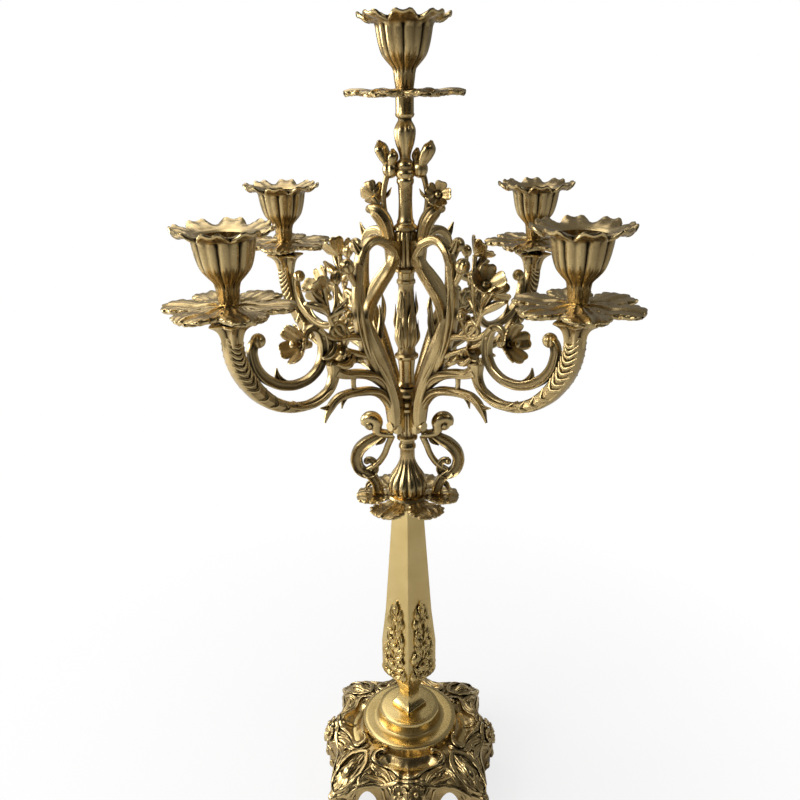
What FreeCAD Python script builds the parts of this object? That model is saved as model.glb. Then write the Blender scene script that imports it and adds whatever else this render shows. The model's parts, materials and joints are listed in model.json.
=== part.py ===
"""Tabletop candelabra for five candles: a stand, a turned stem, four scrolled arms and five cups.

Millimetres. The origin is on the floor under the stem, +Z is up, and the base's sides face X and Y.
The arms stand on the diagonals. Outlines of flat castings are drawn in the XZ plane and turned to
their azimuth afterwards.
"""

import FreeCAD, Part

import math
import os

V = FreeCAD.Vector
UP = V(0, 0, 1)
ORIGIN = V(0, 0, 0)

# Candle fit
CANDLE_BORE_RADIUS = 11.2
CANDLE_BORE_DEPTH = 12.0
CUP_HEIGHT = 36.8
CUP_LIP_RADIUS = 23.7
CUP_LIP_RISE = 5.8
CUP_FOOT_RADIUS = 4.6
CUP_SHOULDER_WALL = 2.6
PETAL_COUNT = 8
PETAL_NOTCH_RADIUS = 3.0

# Threads, modelled as plain cylinders
ROD_RADIUS = 2.5
STUD_RADIUS = 3.0
STUD_ENGAGEMENT = 7.0
RUNNING_CLEARANCE = 0.06
THREAD_BOTTOM_CLEARANCE = 0.6

# Leaf pans, the washers on them, and the leaf dish under the stem
PAN_RADIUS = 31.7
PAN_THICKNESS = 2.4
PAN_HUB_RADIUS = 8.0
LEAF_COUNT = 6
WASHER_RADIUS = 5.4
WASHER_THICKNESS = 0.8
DISH_HUB_RADIUS = 14.0
DISH_LEAF_THICKNESS = 2.2

# Base
BASE_HALF_SIDE = 48.0
BASE_SHELL_REACH = 57.0
BASE_HEIGHT = 36.0
BASE_WALL = 3.4
BASE_TOP_WALL = 4.0
FOOT_RADIUS = 7.0
FOOT_HEIGHT = 9.0
ARCH_RADIUS = 8.5
ARCH_TOP_Z = 26.0
ARCH_AZIMUTH = 29.0

# Stand above the base
PLINTH_RADIUS = 31.5
PLINTH_STEP_HEIGHT = 7.1
PLINTH_UPPER_RADIUS = 20.0
PLINTH_UPPER_HEIGHT = 8.6
KNOP_HEIGHT = 16.3
KNOP_HALF_DIAGONAL = 12.0
NECK_HALF_DIAGONAL = 8.0
COLUMN_HEIGHT = 137.0
COLUMN_FOOT_HALF_DIAGONAL = 17.7
COLUMN_TOP_HALF_DIAGONAL = 9.9
COLUMN_WALL = 2.6
DISH_HEIGHT = 8.0

# Turned stem, from the dish up
COLLAR_HEIGHT = 35.0
COLLAR_RADIUS = 11.4
LOWER_HUB_HEIGHT = 22.0
STEM_KNOP_HEIGHT = 28.0
BALUSTER_HEIGHT = 50.0
UPPER_HUB_HEIGHT = 26.0
UPPER_STEM_HEIGHT = 24.0
FINIAL_HEIGHT = 40.0
ROD_GRIP = 6.0
HUB_SIDES = 8
HUB_FLAT = 5.5
STEM_RADIUS = 4.4
SOCKET_RADIUS = 4.8

# Arms
ARM_COUNT = 4
ARM_REACH = 112.0
ARM_THICKNESS = 8.0
STRAP_THICKNESS = 6.5
TWIG_THICKNESS = 4.0
LUG_THICKNESS = 4.4
UPPER_LUG_RISE = 5.0
SOCKET_HEIGHT = 12.0
ARM_TIP_BREADTH = 10.0
SCREW_RADIUS = 1.5
SCREW_HEAD_RADIUS = 2.7
SCREW_HEAD_HEIGHT = 2.0
SCREW_TIP_RADIUS = 3.4
SCREW_CLEARANCE = 0.1
FLOWER_RADIUS = 9.0
SMALL_FLOWER_RADIUS = 6.0
FLOWER_THICKNESS = 3.0
FLOWER_PETALS = 5

# Rod end under the base
NUT_FLATS = 8.0
NUT_HEIGHT = 4.0
BASE_WASHER_RADIUS = 9.0
BASE_WASHER_THICKNESS = 1.5
ROD_TAIL = 4.0
PIECE_GAP = 0.3

# Levels that follow from the heights
PLINTH_Z = BASE_HEIGHT
KNOP_Z = PLINTH_Z + PLINTH_STEP_HEIGHT + PLINTH_UPPER_HEIGHT
COLUMN_Z = KNOP_Z + KNOP_HEIGHT
DISH_Z = COLUMN_Z + COLUMN_HEIGHT
COLLAR_Z = DISH_Z + DISH_HEIGHT
LOWER_HUB_Z = COLLAR_Z + COLLAR_HEIGHT
STEM_KNOP_Z = LOWER_HUB_Z + LOWER_HUB_HEIGHT
BALUSTER_Z = STEM_KNOP_Z + STEM_KNOP_HEIGHT
UPPER_HUB_Z = BALUSTER_Z + BALUSTER_HEIGHT
UPPER_STEM_Z = UPPER_HUB_Z + UPPER_HUB_HEIGHT
FINIAL_Z = UPPER_STEM_Z + UPPER_STEM_HEIGHT
CENTRE_SEAT_Z = FINIAL_Z + FINIAL_HEIGHT

# The arm's outline is drawn on a sheet of this size, from the hub's flat to the cup's axis and from
# the lower hub's foot to the upper lug, and stretched to the real reach and hub spacing.
DRAWN_HUB_FLAT = 5.5
DRAWN_REACH = 112.0
DRAWN_LUG_RISE = 105.0
DRAWN_ARM_TIP = 88.0
DRAWN_LUG = (6.0, 20.0)
DRAWN_SCREW_Z = 12.0
DRAWN_SCREW_HEAD_R = 12.0

ROD_BORE = ROD_RADIUS + RUNNING_CLEARANCE
STUD_BORE = STUD_RADIUS + RUNNING_CLEARANCE


def drawn(r, z):
    """A point of the arm's drawing, moved to its real place in the XZ plane."""
    across = (ARM_REACH - HUB_FLAT) / (DRAWN_REACH - DRAWN_HUB_FLAT)
    rise = (UPPER_HUB_Z + UPPER_LUG_RISE - LOWER_HUB_Z) / DRAWN_LUG_RISE
    return V(HUB_FLAT + (r - DRAWN_HUB_FLAT) * across, 0, LOWER_HUB_Z + z * rise)


ARM_TIP_Z = drawn(DRAWN_REACH, DRAWN_ARM_TIP).z
ARM_SEAT_Z = ARM_TIP_Z + SOCKET_HEIGHT


def spline(points):
    """One smooth edge through the points, or a straight one where there are only two."""
    if len(points) == 2:
        return Part.LineSegment(points[0], points[1]).toShape()
    curve = Part.BSplineCurve()
    curve.interpolate(points)
    return curve.toShape()


def cylinder(radius, height, z, x=0.0, y=0.0):
    return Part.makeCylinder(radius, height, V(x, y, z), UP)


def radial_cylinder(radius, length, start_r, z):
    """A cylinder along +X, from start_r out."""
    return Part.makeCylinder(radius, length, V(start_r, 0, z), V(1, 0, 0))


def turned(stretches, bore_radius):
    """Revolves an outer profile, given as stretches of (radius, z) points from the bottom up."""
    edges = [spline([V(r, 0, z) for r, z in stretch]) for stretch in stretches]
    bottom_r, bottom_z = stretches[0][0]
    top_r, top_z = stretches[-1][-1]
    inner_bottom = V(bore_radius, 0, bottom_z)
    inner_top = V(bore_radius, 0, top_z)
    edges.append(Part.LineSegment(V(top_r, 0, top_z), inner_top).toShape())
    edges.append(Part.LineSegment(inner_top, inner_bottom).toShape())
    edges.append(Part.LineSegment(inner_bottom, V(bottom_r, 0, bottom_z)).toShape())
    face = Part.Face(Part.Wire(Part.__sortEdges__(edges)))
    return face.revolve(ORIGIN, UP, 360)


def square_wire(half_diagonal, z):
    """A square whose corners lie on the X and Y axes."""
    half = half_diagonal
    corners = [V(half, 0, z), V(0, half, z), V(-half, 0, z), V(0, -half, z)]
    return Part.makePolygon(corners + corners[:1])


def square_stack(sections):
    """A solid through squares, given as (half diagonal, z) from the bottom up."""
    return Part.makeLoft([square_wire(half, z) for half, z in sections], True, True)


def strand(path, half_widths, thickness):
    """A flat ribbon in the XZ plane along a smooth path, with cut ends and its own width at each point."""
    curve = Part.BSplineCurve()
    curve.interpolate(path)
    left, right = [], []
    for point, half in zip(path, half_widths):
        tangent = V(*curve.tangent(curve.parameter(point))[0])
        across = tangent.cross(V(0, 1, 0)).normalize() * half
        left.append(point + across)
        right.append(point - across)
    edges = [
        spline(left),
        Part.LineSegment(left[-1], right[-1]).toShape(),
        spline(right[::-1]),
        Part.LineSegment(right[0], left[0]).toShape(),
    ]
    return sheet(Part.Face(Part.Wire(edges)), thickness)


def sheet(face, thickness):
    """A face of the XZ plane, given thickness evenly to both sides."""
    face.translate(V(0, -thickness / 2, 0))
    return face.extrude(V(0, thickness, 0))


def plate(x0, x1, z0, z1, thickness):
    """A rectangle of the XZ plane, given thickness."""
    return Part.makeBox(x1 - x0, thickness, z1 - z0, V(x0, -thickness / 2, z0))


def knob(centre, radius, thickness):
    """A round disc in the XZ plane, given thickness."""
    return Part.makeCylinder(radius, thickness, centre - V(0, thickness / 2, 0), V(0, 1, 0))


def joined(shapes):
    """Fuses overlapping solids into one."""
    return shapes[0].multiFuse(shapes[1:]).removeSplitter()


def at_azimuth(shape, degrees, x=0.0, z=0.0):
    """A copy moved out along X and up, then turned about the stem's axis."""
    copy = shape.copy()
    copy.translate(V(x, 0, z))
    copy.rotate(ORIGIN, UP, degrees)
    return copy


# Base and stand


def base_outline(shrink, inset, z):
    """The base's closed outline: square corners on the diagonals and a shell at the middle of each side."""
    corner = BASE_HALF_SIDE * math.sqrt(2)
    saddle = (BASE_HALF_SIDE + BASE_SHELL_REACH) / 2
    radii = [BASE_SHELL_REACH, saddle, corner, saddle]
    points = []
    steps = 4 * len(radii)
    for step in range(steps):
        angle = math.radians(360 / steps * step)
        radius = radii[step % len(radii)] * shrink - inset
        points.append(V(radius * math.cos(angle), radius * math.sin(angle), z))
    curve = Part.BSplineCurve()
    curve.interpolate(points, PeriodicFlag=True)
    return Part.Wire(curve.toShape())


def base_skin(inset, top_z):
    """The base's lofted body: a steep skirt, a rounded rim and a slope up to the plinth."""
    sections = [
        base_outline(1.0, inset, 0),
        base_outline(0.97, inset, 0.45 * top_z),
        base_outline(0.86, inset, 0.76 * top_z),
        Part.Wire(Part.makeCircle(PLINTH_RADIUS + 1.5 - inset, V(0, 0, top_z), UP)),
    ]
    return Part.makeLoft(sections[:3], True, True).fuse(Part.makeLoft(sections[2:], True, True))


def base_casting():
    body = base_skin(0, BASE_HEIGHT)
    feet = []
    foot_reach = BASE_HALF_SIDE * math.sqrt(2) - FOOT_RADIUS - 0.5
    for corner in range(4):
        foot = cylinder(FOOT_RADIUS, FOOT_HEIGHT, 0, foot_reach)
        feet.append(at_azimuth(foot, 45 + 90 * corner))
    arches = []
    arch_length = BASE_SHELL_REACH
    for side in range(4):
        for lean in (-ARCH_AZIMUTH, ARCH_AZIMUTH):
            start = V(PLINTH_RADIUS, 0, ARCH_TOP_Z - ARCH_RADIUS)
            arch = Part.makeCylinder(ARCH_RADIUS, arch_length, start, V(1, 0, 0))
            below = Part.makeBox(arch_length, 2 * ARCH_RADIUS, start.z, V(PLINTH_RADIUS, -ARCH_RADIUS, 0))
            arches.append(at_azimuth(arch.fuse(below), 90 * side + lean))
    hollow = base_skin(BASE_WALL, BASE_HEIGHT - BASE_TOP_WALL)
    shell = body.cut(hollow).cut(Part.makeCompound(arches))
    return shell.multiFuse(feet).cut(cylinder(ROD_BORE, BASE_HEIGHT + 2, -1)).removeSplitter()


def stepped_plinth():
    step_z = PLINTH_Z + PLINTH_STEP_HEIGHT
    edge = 1.6
    profile = [
        [(PLINTH_RADIUS, PLINTH_Z), (PLINTH_RADIUS, step_z - edge)],
        [(PLINTH_RADIUS, step_z - edge), (PLINTH_RADIUS - 0.5, step_z - 0.5), (PLINTH_RADIUS - edge, step_z)],
        [(PLINTH_RADIUS - edge, step_z), (PLINTH_UPPER_RADIUS, step_z)],
        [(PLINTH_UPPER_RADIUS, step_z), (PLINTH_UPPER_RADIUS, KNOP_Z - edge)],
        [(PLINTH_UPPER_RADIUS, KNOP_Z - edge), (PLINTH_UPPER_RADIUS - 0.5, KNOP_Z - 0.5),
         (PLINTH_UPPER_RADIUS - edge, KNOP_Z)],
    ]
    return turned(profile, ROD_BORE)


def foot_knop():
    sections = [
        (KNOP_HALF_DIAGONAL, 0),
        (KNOP_HALF_DIAGONAL, 0.12),
        (0.83 * KNOP_HALF_DIAGONAL, 0.35),
        (0.62 * KNOP_HALF_DIAGONAL, 0.62),
        (0.86 * NECK_HALF_DIAGONAL, 0.85),
        (NECK_HALF_DIAGONAL, 1.0),
    ]
    body = square_stack([(half, KNOP_Z + share * KNOP_HEIGHT) for half, share in sections])
    return body.cut(cylinder(ROD_BORE, KNOP_HEIGHT + 2, KNOP_Z - 1))


def column():
    """A hollow square pillar, rounded in below to a narrow neck and tapering towards the top."""
    foot = COLUMN_FOOT_HALF_DIAGONAL
    swell_z = COLUMN_Z + 13
    shoulder_z = COLUMN_Z + 36
    top_z = COLUMN_Z + COLUMN_HEIGHT
    taper_z = top_z - 8
    outer = [
        (NECK_HALF_DIAGONAL, COLUMN_Z),
        (1.25 * NECK_HALF_DIAGONAL, COLUMN_Z + 4),
        (0.78 * foot, COLUMN_Z + 8),
        (0.93 * foot, COLUMN_Z + 10.5),
        (foot, swell_z),
        (foot, shoulder_z),
        (COLUMN_TOP_HALF_DIAGONAL, taper_z),
        (COLUMN_TOP_HALF_DIAGONAL, top_z),
    ]
    inset = COLUMN_WALL * math.sqrt(2)
    inner = [
        (foot - inset, swell_z + COLUMN_WALL),
        (foot - inset, shoulder_z),
        (COLUMN_TOP_HALF_DIAGONAL - inset, taper_z - COLUMN_WALL),
    ]
    body = square_stack(outer).cut(square_stack(inner))
    return body.cut(cylinder(ROD_BORE, COLUMN_HEIGHT + 2, COLUMN_Z - 1))


# Leaf pans and cups


def leaf(radius, thickness):
    """One leaf along +X: narrow at the root, broad at two thirds and pointed at the rim."""
    edge = [(0.15, 0.09), (0.38, 0.2), (0.65, 0.345), (0.86, 0.27), (1.0, 0.0)]
    upper = [V(x * radius, y * radius, 0) for x, y in edge]
    lower = [V(p.x, -p.y, 0) for p in upper]
    root = Part.LineSegment(lower[0], upper[0]).toShape()
    outline = Part.Wire([spline(upper), spline(lower[::-1]), root])
    return Part.Face(outline).extrude(UP * thickness)


def leaf_plate(hub_radius, thickness, first_azimuth):
    """Six leaves round a hub, with the underside at z 0."""
    pieces = [cylinder(hub_radius, thickness, 0)]
    for index in range(LEAF_COUNT):
        pieces.append(at_azimuth(leaf(PAN_RADIUS, thickness), first_azimuth + index * 360 / LEAF_COUNT))
    return joined(pieces)


def leaf_dish():
    """The six-leaved dish on the column: a hub as tall as its seat, and leaves near its top."""
    leaves = leaf_plate(DISH_HUB_RADIUS, DISH_LEAF_THICKNESS, 0)
    leaves.translate(V(0, 0, COLLAR_Z - 1 - DISH_LEAF_THICKNESS))
    boss_radius = DISH_HUB_RADIUS - 1
    profile = [(COLUMN_TOP_HALF_DIAGONAL, DISH_Z), (boss_radius, COLLAR_Z - 3), (boss_radius, COLLAR_Z)]
    bore = cylinder(ROD_BORE, DISH_HEIGHT + 2, DISH_Z - 1)
    return turned([profile], 0).fuse(leaves).cut(bore).removeSplitter()


def pan(first_azimuth):
    """A drip pan with its underside at z 0 and a hole for the cup's stud."""
    hole = cylinder(STUD_BORE, PAN_THICKNESS + 2, -1)
    return leaf_plate(PAN_HUB_RADIUS, PAN_THICKNESS, first_azimuth).cut(hole)


def washer():
    return cylinder(WASHER_RADIUS, WASHER_THICKNESS, 0).cut(cylinder(STUD_BORE, WASHER_THICKNESS + 2, -1))


def cup():
    """A tulip cup with its foot at z 0, a candle bore, an eight-petalled lip and a stud below."""
    mouth_z = CUP_HEIGHT - CUP_LIP_RISE
    bore_z = mouth_z - CANDLE_BORE_DEPTH
    dimple_z = bore_z - 5.5
    body_r = CANDLE_BORE_RADIUS + CUP_SHOULDER_WALL
    outer = [
        [(CUP_FOOT_RADIUS, 0), (5.7, 7)],
        [(5.7, 7), (8.6, 11.5), (0.88 * body_r, 17), (0.94 * body_r, 22), (body_r, mouth_z - 2.5)],
        [(body_r, mouth_z - 2.5), (0.8 * CUP_LIP_RADIUS, mouth_z - 0.5), (CUP_LIP_RADIUS, CUP_HEIGHT - 1.2)],
        [(CUP_LIP_RADIUS, CUP_HEIGHT - 1.2), (CUP_LIP_RADIUS - 0.6, CUP_HEIGHT)],
        [(CUP_LIP_RADIUS - 0.6, CUP_HEIGHT), (0.78 * CUP_LIP_RADIUS, mouth_z + 1.2),
         (CANDLE_BORE_RADIUS + 1, mouth_z)],
        [(CANDLE_BORE_RADIUS + 1, mouth_z), (CANDLE_BORE_RADIUS, mouth_z)],
        [(CANDLE_BORE_RADIUS, mouth_z), (CANDLE_BORE_RADIUS, bore_z)],
        [(CANDLE_BORE_RADIUS, bore_z), (0.6 * CANDLE_BORE_RADIUS, dimple_z + 1)],
        [(0.6 * CANDLE_BORE_RADIUS, dimple_z + 1), (0, dimple_z)],
    ]
    edges = [spline([V(r, 0, z) for r, z in stretch]) for stretch in outer]
    edges.append(Part.LineSegment(V(0, 0, dimple_z), ORIGIN).toShape())
    edges.append(Part.LineSegment(ORIGIN, V(CUP_FOOT_RADIUS, 0, 0)).toShape())
    body = Part.Face(Part.Wire(edges)).revolve(ORIGIN, UP, 360)
    notches = []
    for index in range(PETAL_COUNT):
        notch = cylinder(PETAL_NOTCH_RADIUS, CUP_HEIGHT, mouth_z - 3, CUP_LIP_RADIUS + 0.6)
        notches.append(at_azimuth(notch, (index + 0.5) * 360 / PETAL_COUNT))
    stud_length = STUD_ENGAGEMENT + PAN_THICKNESS + WASHER_THICKNESS
    stud = cylinder(STUD_RADIUS, stud_length, -stud_length)
    return body.cut(Part.makeCompound(notches)).fuse(stud).removeSplitter()


# Turned stem


def bell_collar():
    z = COLLAR_Z
    neck_radius = 0.42 * COLLAR_RADIUS
    neck_z = z + COLLAR_HEIGHT - 6
    profile = [
        [(COLLAR_RADIUS, z), (COLLAR_RADIUS, z + 8)],
        [(COLLAR_RADIUS, z + 8), (0.62 * COLLAR_RADIUS, z + 19), (neck_radius, neck_z)],
        [(neck_radius, neck_z), (neck_radius, z + COLLAR_HEIGHT)],
    ]
    return turned(profile, ROD_BORE)


def hub(z, height, lug_levels):
    """An eight-sided block whose flats carry the castings, with round ends clear of the lugs."""
    low, high = lug_levels
    side_angle = 360 / HUB_SIDES
    corner = HUB_FLAT / math.cos(math.radians(side_angle / 2))
    corners = []
    for index in range(HUB_SIDES + 1):
        angle = math.radians(side_angle * (index + 0.5))
        corners.append(V(corner * math.cos(angle), corner * math.sin(angle), low))
    block = Part.Face(Part.makePolygon(corners)).extrude(V(0, 0, high - low))
    spindle = cylinder(STEM_RADIUS, height, z)
    return block.fuse(spindle).cut(cylinder(ROD_BORE, height + 2, z - 1)).removeSplitter()


def lower_hub():
    body = hub(LOWER_HUB_Z, LOWER_HUB_HEIGHT, (LOWER_HUB_Z, STEM_KNOP_Z - 1))
    screw_z = drawn(0, DRAWN_SCREW_Z).z
    holes = []
    for index in range(ARM_COUNT):
        hole = radial_cylinder(SCREW_RADIUS + SCREW_CLEARANCE / 2, HUB_FLAT, ROD_RADIUS, screw_z)
        holes.append(at_azimuth(hole, arm_azimuth(index)))
    return body.cut(Part.makeCompound(holes))


def upper_hub():
    return hub(UPPER_HUB_Z, UPPER_HUB_HEIGHT, (UPPER_HUB_Z + UPPER_LUG_RISE - 1, UPPER_STEM_Z - 8))


def stem_knop():
    z = STEM_KNOP_Z
    top = z + STEM_KNOP_HEIGHT
    profile = [
        [(STEM_RADIUS, z), (STEM_RADIUS, z + 4)],
        [(STEM_RADIUS, z + 4), (7.4, z + 8), (STEM_RADIUS, z + 12)],
        [(STEM_RADIUS, z + 12), (STEM_RADIUS, top)],
    ]
    return turned(profile, ROD_BORE)


def baluster():
    z = BALUSTER_Z
    top = z + BALUSTER_HEIGHT
    profile = [
        [(5.0, z), (6.5, z + 2), (5.0, z + 4)],
        [(5.0, z + 4), (5.0, z + 8)],
        [(5.0, z + 8), (6.4, z + 13), (5.4, z + 24), (STEM_RADIUS, top - 6)],
        [(STEM_RADIUS, top - 6), (STEM_RADIUS + 0.5, top - 3), (STEM_RADIUS, top)],
    ]
    return turned(profile, ROD_BORE)


def upper_stem():
    z = UPPER_STEM_Z
    waist = STEM_RADIUS - 0.7
    profile = [
        [(STEM_RADIUS, z), (waist, z + 4)],
        [(waist, z + 4), (waist, z + UPPER_STEM_HEIGHT)],
    ]
    return turned(profile, ROD_BORE)


def finial_socket():
    """The bulb at the top of the stem, bored below for the rod and above for the centre cup's stud."""
    z = FINIAL_Z
    profile = [
        [(5.0, z), (5.0, z + 7.5)],
        [(5.0, z + 7.5), (2.8, z + 10)],
        [(2.8, z + 10), (5.6, z + 23), (3.4, z + 28.5)],
        [(3.4, z + 28.5), (SOCKET_RADIUS, z + 30.5)],
        [(SOCKET_RADIUS, z + 30.5), (SOCKET_RADIUS, CENTRE_SEAT_Z)],
    ]
    body = turned(profile, 0).cut(cylinder(ROD_BORE, ROD_GRIP + 1, z - 1))
    depth = STUD_ENGAGEMENT + THREAD_BOTTOM_CLEARANCE
    return body.cut(cylinder(STUD_BORE, depth + 1, CENTRE_SEAT_Z - depth))


def tie_rod():
    bottom = BASE_HEIGHT - BASE_TOP_WALL - BASE_WASHER_THICKNESS - NUT_HEIGHT - ROD_TAIL
    top = FINIAL_Z + ROD_GRIP - THREAD_BOTTOM_CLEARANCE
    return cylinder(ROD_RADIUS, top - bottom, bottom)


def base_washer():
    z = BASE_HEIGHT - BASE_TOP_WALL - BASE_WASHER_THICKNESS
    disc = cylinder(BASE_WASHER_RADIUS, BASE_WASHER_THICKNESS, z)
    return disc.cut(cylinder(ROD_BORE, BASE_WASHER_THICKNESS + 2, z - 1))


def base_nut():
    z = BASE_HEIGHT - BASE_TOP_WALL - BASE_WASHER_THICKNESS - NUT_HEIGHT
    corner = NUT_FLATS / 2 / math.cos(math.radians(30))
    corners = []
    for index in range(7):
        angle = math.radians(60 * index)
        corners.append(V(corner * math.cos(angle), corner * math.sin(angle), z))
    hexagon = Part.Face(Part.makePolygon(corners)).extrude(UP * NUT_HEIGHT)
    return hexagon.cut(cylinder(ROD_BORE, NUT_HEIGHT + 2, z - 1))


# Castings on the stem


def arm_azimuth(index):
    return 45 + 360 / ARM_COUNT * index


def path(*points):
    return [drawn(r, z) for r, z in points]


def arm():
    """One arm casting in the XZ plane: a trunk, a heart-shaped loop, two bars and the swept outer arm."""
    trunk = strand(
        path((10.5, 6), (11.5, 18), (13.8, 30), (16.5, 41), (21.5, 54), (27, 68), (29.5, 79)),
        [5, 4.8, 4.4, 4.6, 4.8, 4.4, 3.2], ARM_THICKNESS)
    inner_strap = strand(
        path((29, 75), (24, 84), (16, 94), (10.5, 102), (9.5, 110)),
        [2.8] * 5, STRAP_THICKNESS)
    post = strand(
        path((22, 50), (29, 62), (34, 76), (34.5, 92), (33, 106)),
        [2.8] * 5, STRAP_THICKNESS)
    top_arch = strand(
        path((33.4, 102), (31, 112.5), (24, 118), (16, 115.5), (8, 107)),
        [2.7, 2.6, 2.4, 2.6, 2.6], STRAP_THICKNESS)
    upper_bar = strand(path((14, 34), (25, 46), (37, 51), (54, 54)), [3.0, 2.8, 2.8, 3.4], STRAP_THICKNESS)
    lower_bar = strand(
        path((13, 25), (21, 34), (33, 38.8), (48, 40), (57, 35.5), (60.5, 29)),
        [3, 2.6, 2.4, 2.3, 2, 1.2], STRAP_THICKNESS)
    strut = strand(path((39.5, 38), (39, 45), (39.5, 53)), [1.6, 1.4, 1.8], TWIG_THICKNESS)
    outer = strand(
        path((52.5, 56), (55, 46), (64, 42), (78, 42), (91, 47), (102, 57), (109, 70), (112, 80),
             (112, DRAWN_ARM_TIP)),
        [3.2, 2.8, 2.5, 2.6, 3.8, 4.9, 5, 5, ARM_TIP_BREADTH / 2], ARM_THICKNESS)
    c_scroll = strand(
        path((59.5, 79), (59.2, 68), (63.5, 59.5), (72, 55.6), (82, 56), (92, 60), (99, 67), (102, 75)),
        [2.6, 2.4, 2.2, 2.1, 2.2, 2.3, 2.2, 2.2], STRAP_THICKNESS)
    scroll_eye = knob(drawn(100, 77.5), 4.2, STRAP_THICKNESS)
    scroll_head = knob(drawn(63, 80), 5.0, STRAP_THICKNESS)
    twig = strand(path((32, 71), (42, 72.5), (51, 73), (60, 78)), [2.2, 1.8, 1.8, 1.8], TWIG_THICKNESS)
    lower_twig = strand(path((30, 60), (40, 62), (49, 67), (58, 72)), [2.4, 2.2, 1.6, 1.6], TWIG_THICKNESS)
    sprig = strand(path((44, 72), (50, 79), (54.5, 88), (56, 98)), [1.6, 1.5, 1.4, 1.4], TWIG_THICKNESS)
    bud_stalk = strand(path((33, 96), (37, 101), (41, 107)), [2, 1.8, 1.8], TWIG_THICKNESS)
    bud = knob(drawn(41.5, 108), 3.8, TWIG_THICKNESS)
    leaf_tip = strand(path((29, 112), (33, 116), (36, 121)), [1.8, 1.9, 1.2], TWIG_THICKNESS)
    lug_low, lug_high = (drawn(0, z).z for z in DRAWN_LUG)
    lower_lug = plate(HUB_FLAT, HUB_FLAT + 6.5, lug_low, lug_high, ARM_THICKNESS)
    upper_lug_z = UPPER_HUB_Z + UPPER_LUG_RISE
    upper_lug = plate(HUB_FLAT, HUB_FLAT + 5, upper_lug_z, upper_lug_z + 7, LUG_THICKNESS)
    casting = joined([
        trunk, inner_strap, post, top_arch, upper_bar, lower_bar, strut, outer, c_scroll, scroll_eye,
        scroll_head, twig, lower_twig, sprig, bud_stalk, bud, leaf_tip, lower_lug, upper_lug,
    ])
    stem_side = Part.makeBox(2 * HUB_FLAT, 4 * HUB_FLAT, 400, V(-HUB_FLAT, -2 * HUB_FLAT, LOWER_HUB_Z - 50))
    below_lug = Part.makeBox(20, 20, lug_low - LOWER_HUB_Z + 20, V(0, -10, LOWER_HUB_Z - 20))
    above_tip = Part.makeBox(30, 30, 10, V(ARM_REACH - 15, -15, ARM_TIP_Z))
    screw_z = drawn(0, DRAWN_SCREW_Z).z
    head_r = drawn(DRAWN_SCREW_HEAD_R, 0).x
    shank_hole = radial_cylinder(SCREW_RADIUS + SCREW_CLEARANCE, head_r, HUB_FLAT - 1, screw_z)
    head_hole = radial_cylinder(SCREW_HEAD_RADIUS + SCREW_CLEARANCE, head_r, head_r, screw_z)
    cuts = Part.makeCompound([stem_side, below_lug, above_tip, shank_hole, head_hole])
    return casting.cut(cuts).removeSplitter()


def arm_screw():
    """The screw that holds an arm to the lower hub, along +X, with its head against the arm."""
    screw_z = drawn(0, DRAWN_SCREW_Z).z
    head_r = drawn(DRAWN_SCREW_HEAD_R, 0).x
    shank = radial_cylinder(SCREW_RADIUS, head_r - SCREW_TIP_RADIUS, SCREW_TIP_RADIUS, screw_z)
    head = radial_cylinder(SCREW_HEAD_RADIUS, SCREW_HEAD_HEIGHT, head_r, screw_z)
    return shank.fuse(head).removeSplitter()


def arm_socket():
    """The leafy cap on an arm's end, bored for the cup's stud."""
    z = ARM_TIP_Z
    profile = [
        [(ARM_TIP_BREADTH / 2, z), (6.0, z + 1.5), (10.4, z + 4.5)],
        [(10.4, z + 4.5), (10.0, z + 5.5)],
        [(10.0, z + 5.5), (6.5, z + 5), (SOCKET_RADIUS, z + 6.5)],
        [(SOCKET_RADIUS, z + 6.5), (SOCKET_RADIUS, ARM_SEAT_Z)],
    ]
    depth = STUD_ENGAGEMENT + THREAD_BOTTOM_CLEARANCE
    return turned(profile, 0).cut(cylinder(STUD_BORE, depth + 1, ARM_SEAT_Z - depth))


def flower(radius, petals=FLOWER_PETALS):
    """A petalled rosette that faces +Z, with its back at z 0."""
    pieces = [cylinder(0.42 * radius, FLOWER_THICKNESS, 0)]
    for index in range(petals):
        petal = cylinder(0.42 * radius, 0.7 * FLOWER_THICKNESS, 0, 0.58 * radius)
        pieces.append(at_azimuth(petal, index * 360 / petals))
    return joined(pieces)


def on_side(shape, centre, thickness):
    """A rosette laid on the flat side of a casting in the XZ plane, at its centre."""
    copy = shape.copy()
    copy.rotate(ORIGIN, V(1, 0, 0), 90)
    copy.translate(centre - V(0, thickness / 2, 0))
    return copy


def arm_flowers():
    """The two flowers of an arm: one on the scroll's head and one on the sprig."""
    scroll_flower = on_side(flower(FLOWER_RADIUS), drawn(65, 79), STRAP_THICKNESS)
    sprig_flower = on_side(flower(FLOWER_RADIUS), drawn(56, 101), TWIG_THICKNESS)
    return Part.makeCompound([scroll_flower, sprig_flower])


def upper_branch():
    """A leafy branch in the XZ plane, seated on the upper hub's flat."""
    strap = strand(
        path((8, 114), (8, 121), (9.5, 129), (13, 135), (17.5, 138.5)),
        [3.0, 3.0, 3.2, 3.2, 2.6], STRAP_THICKNESS)
    twig = strand(
        path((9, 124), (12.5, 137), (13, 149), (10.5, 160), (10.5, 168)),
        [1.6, 1.5, 1.6, 2.4, 1.6], TWIG_THICKNESS)
    bud = knob(drawn(11.5, 154), 3.6, TWIG_THICKNESS)
    lug = plate(HUB_FLAT, HUB_FLAT + 3, drawn(0, 114).z, UPPER_STEM_Z - 9, LUG_THICKNESS)
    casting = joined([strap, twig, bud, lug])
    stem_side = Part.makeBox(2 * HUB_FLAT, 40, 200, V(-HUB_FLAT, -20, UPPER_HUB_Z))
    return casting.cut(stem_side).removeSplitter()


def upper_flower():
    return on_side(flower(SMALL_FLOWER_RADIUS), drawn(17, 141), STRAP_THICKNESS)


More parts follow.
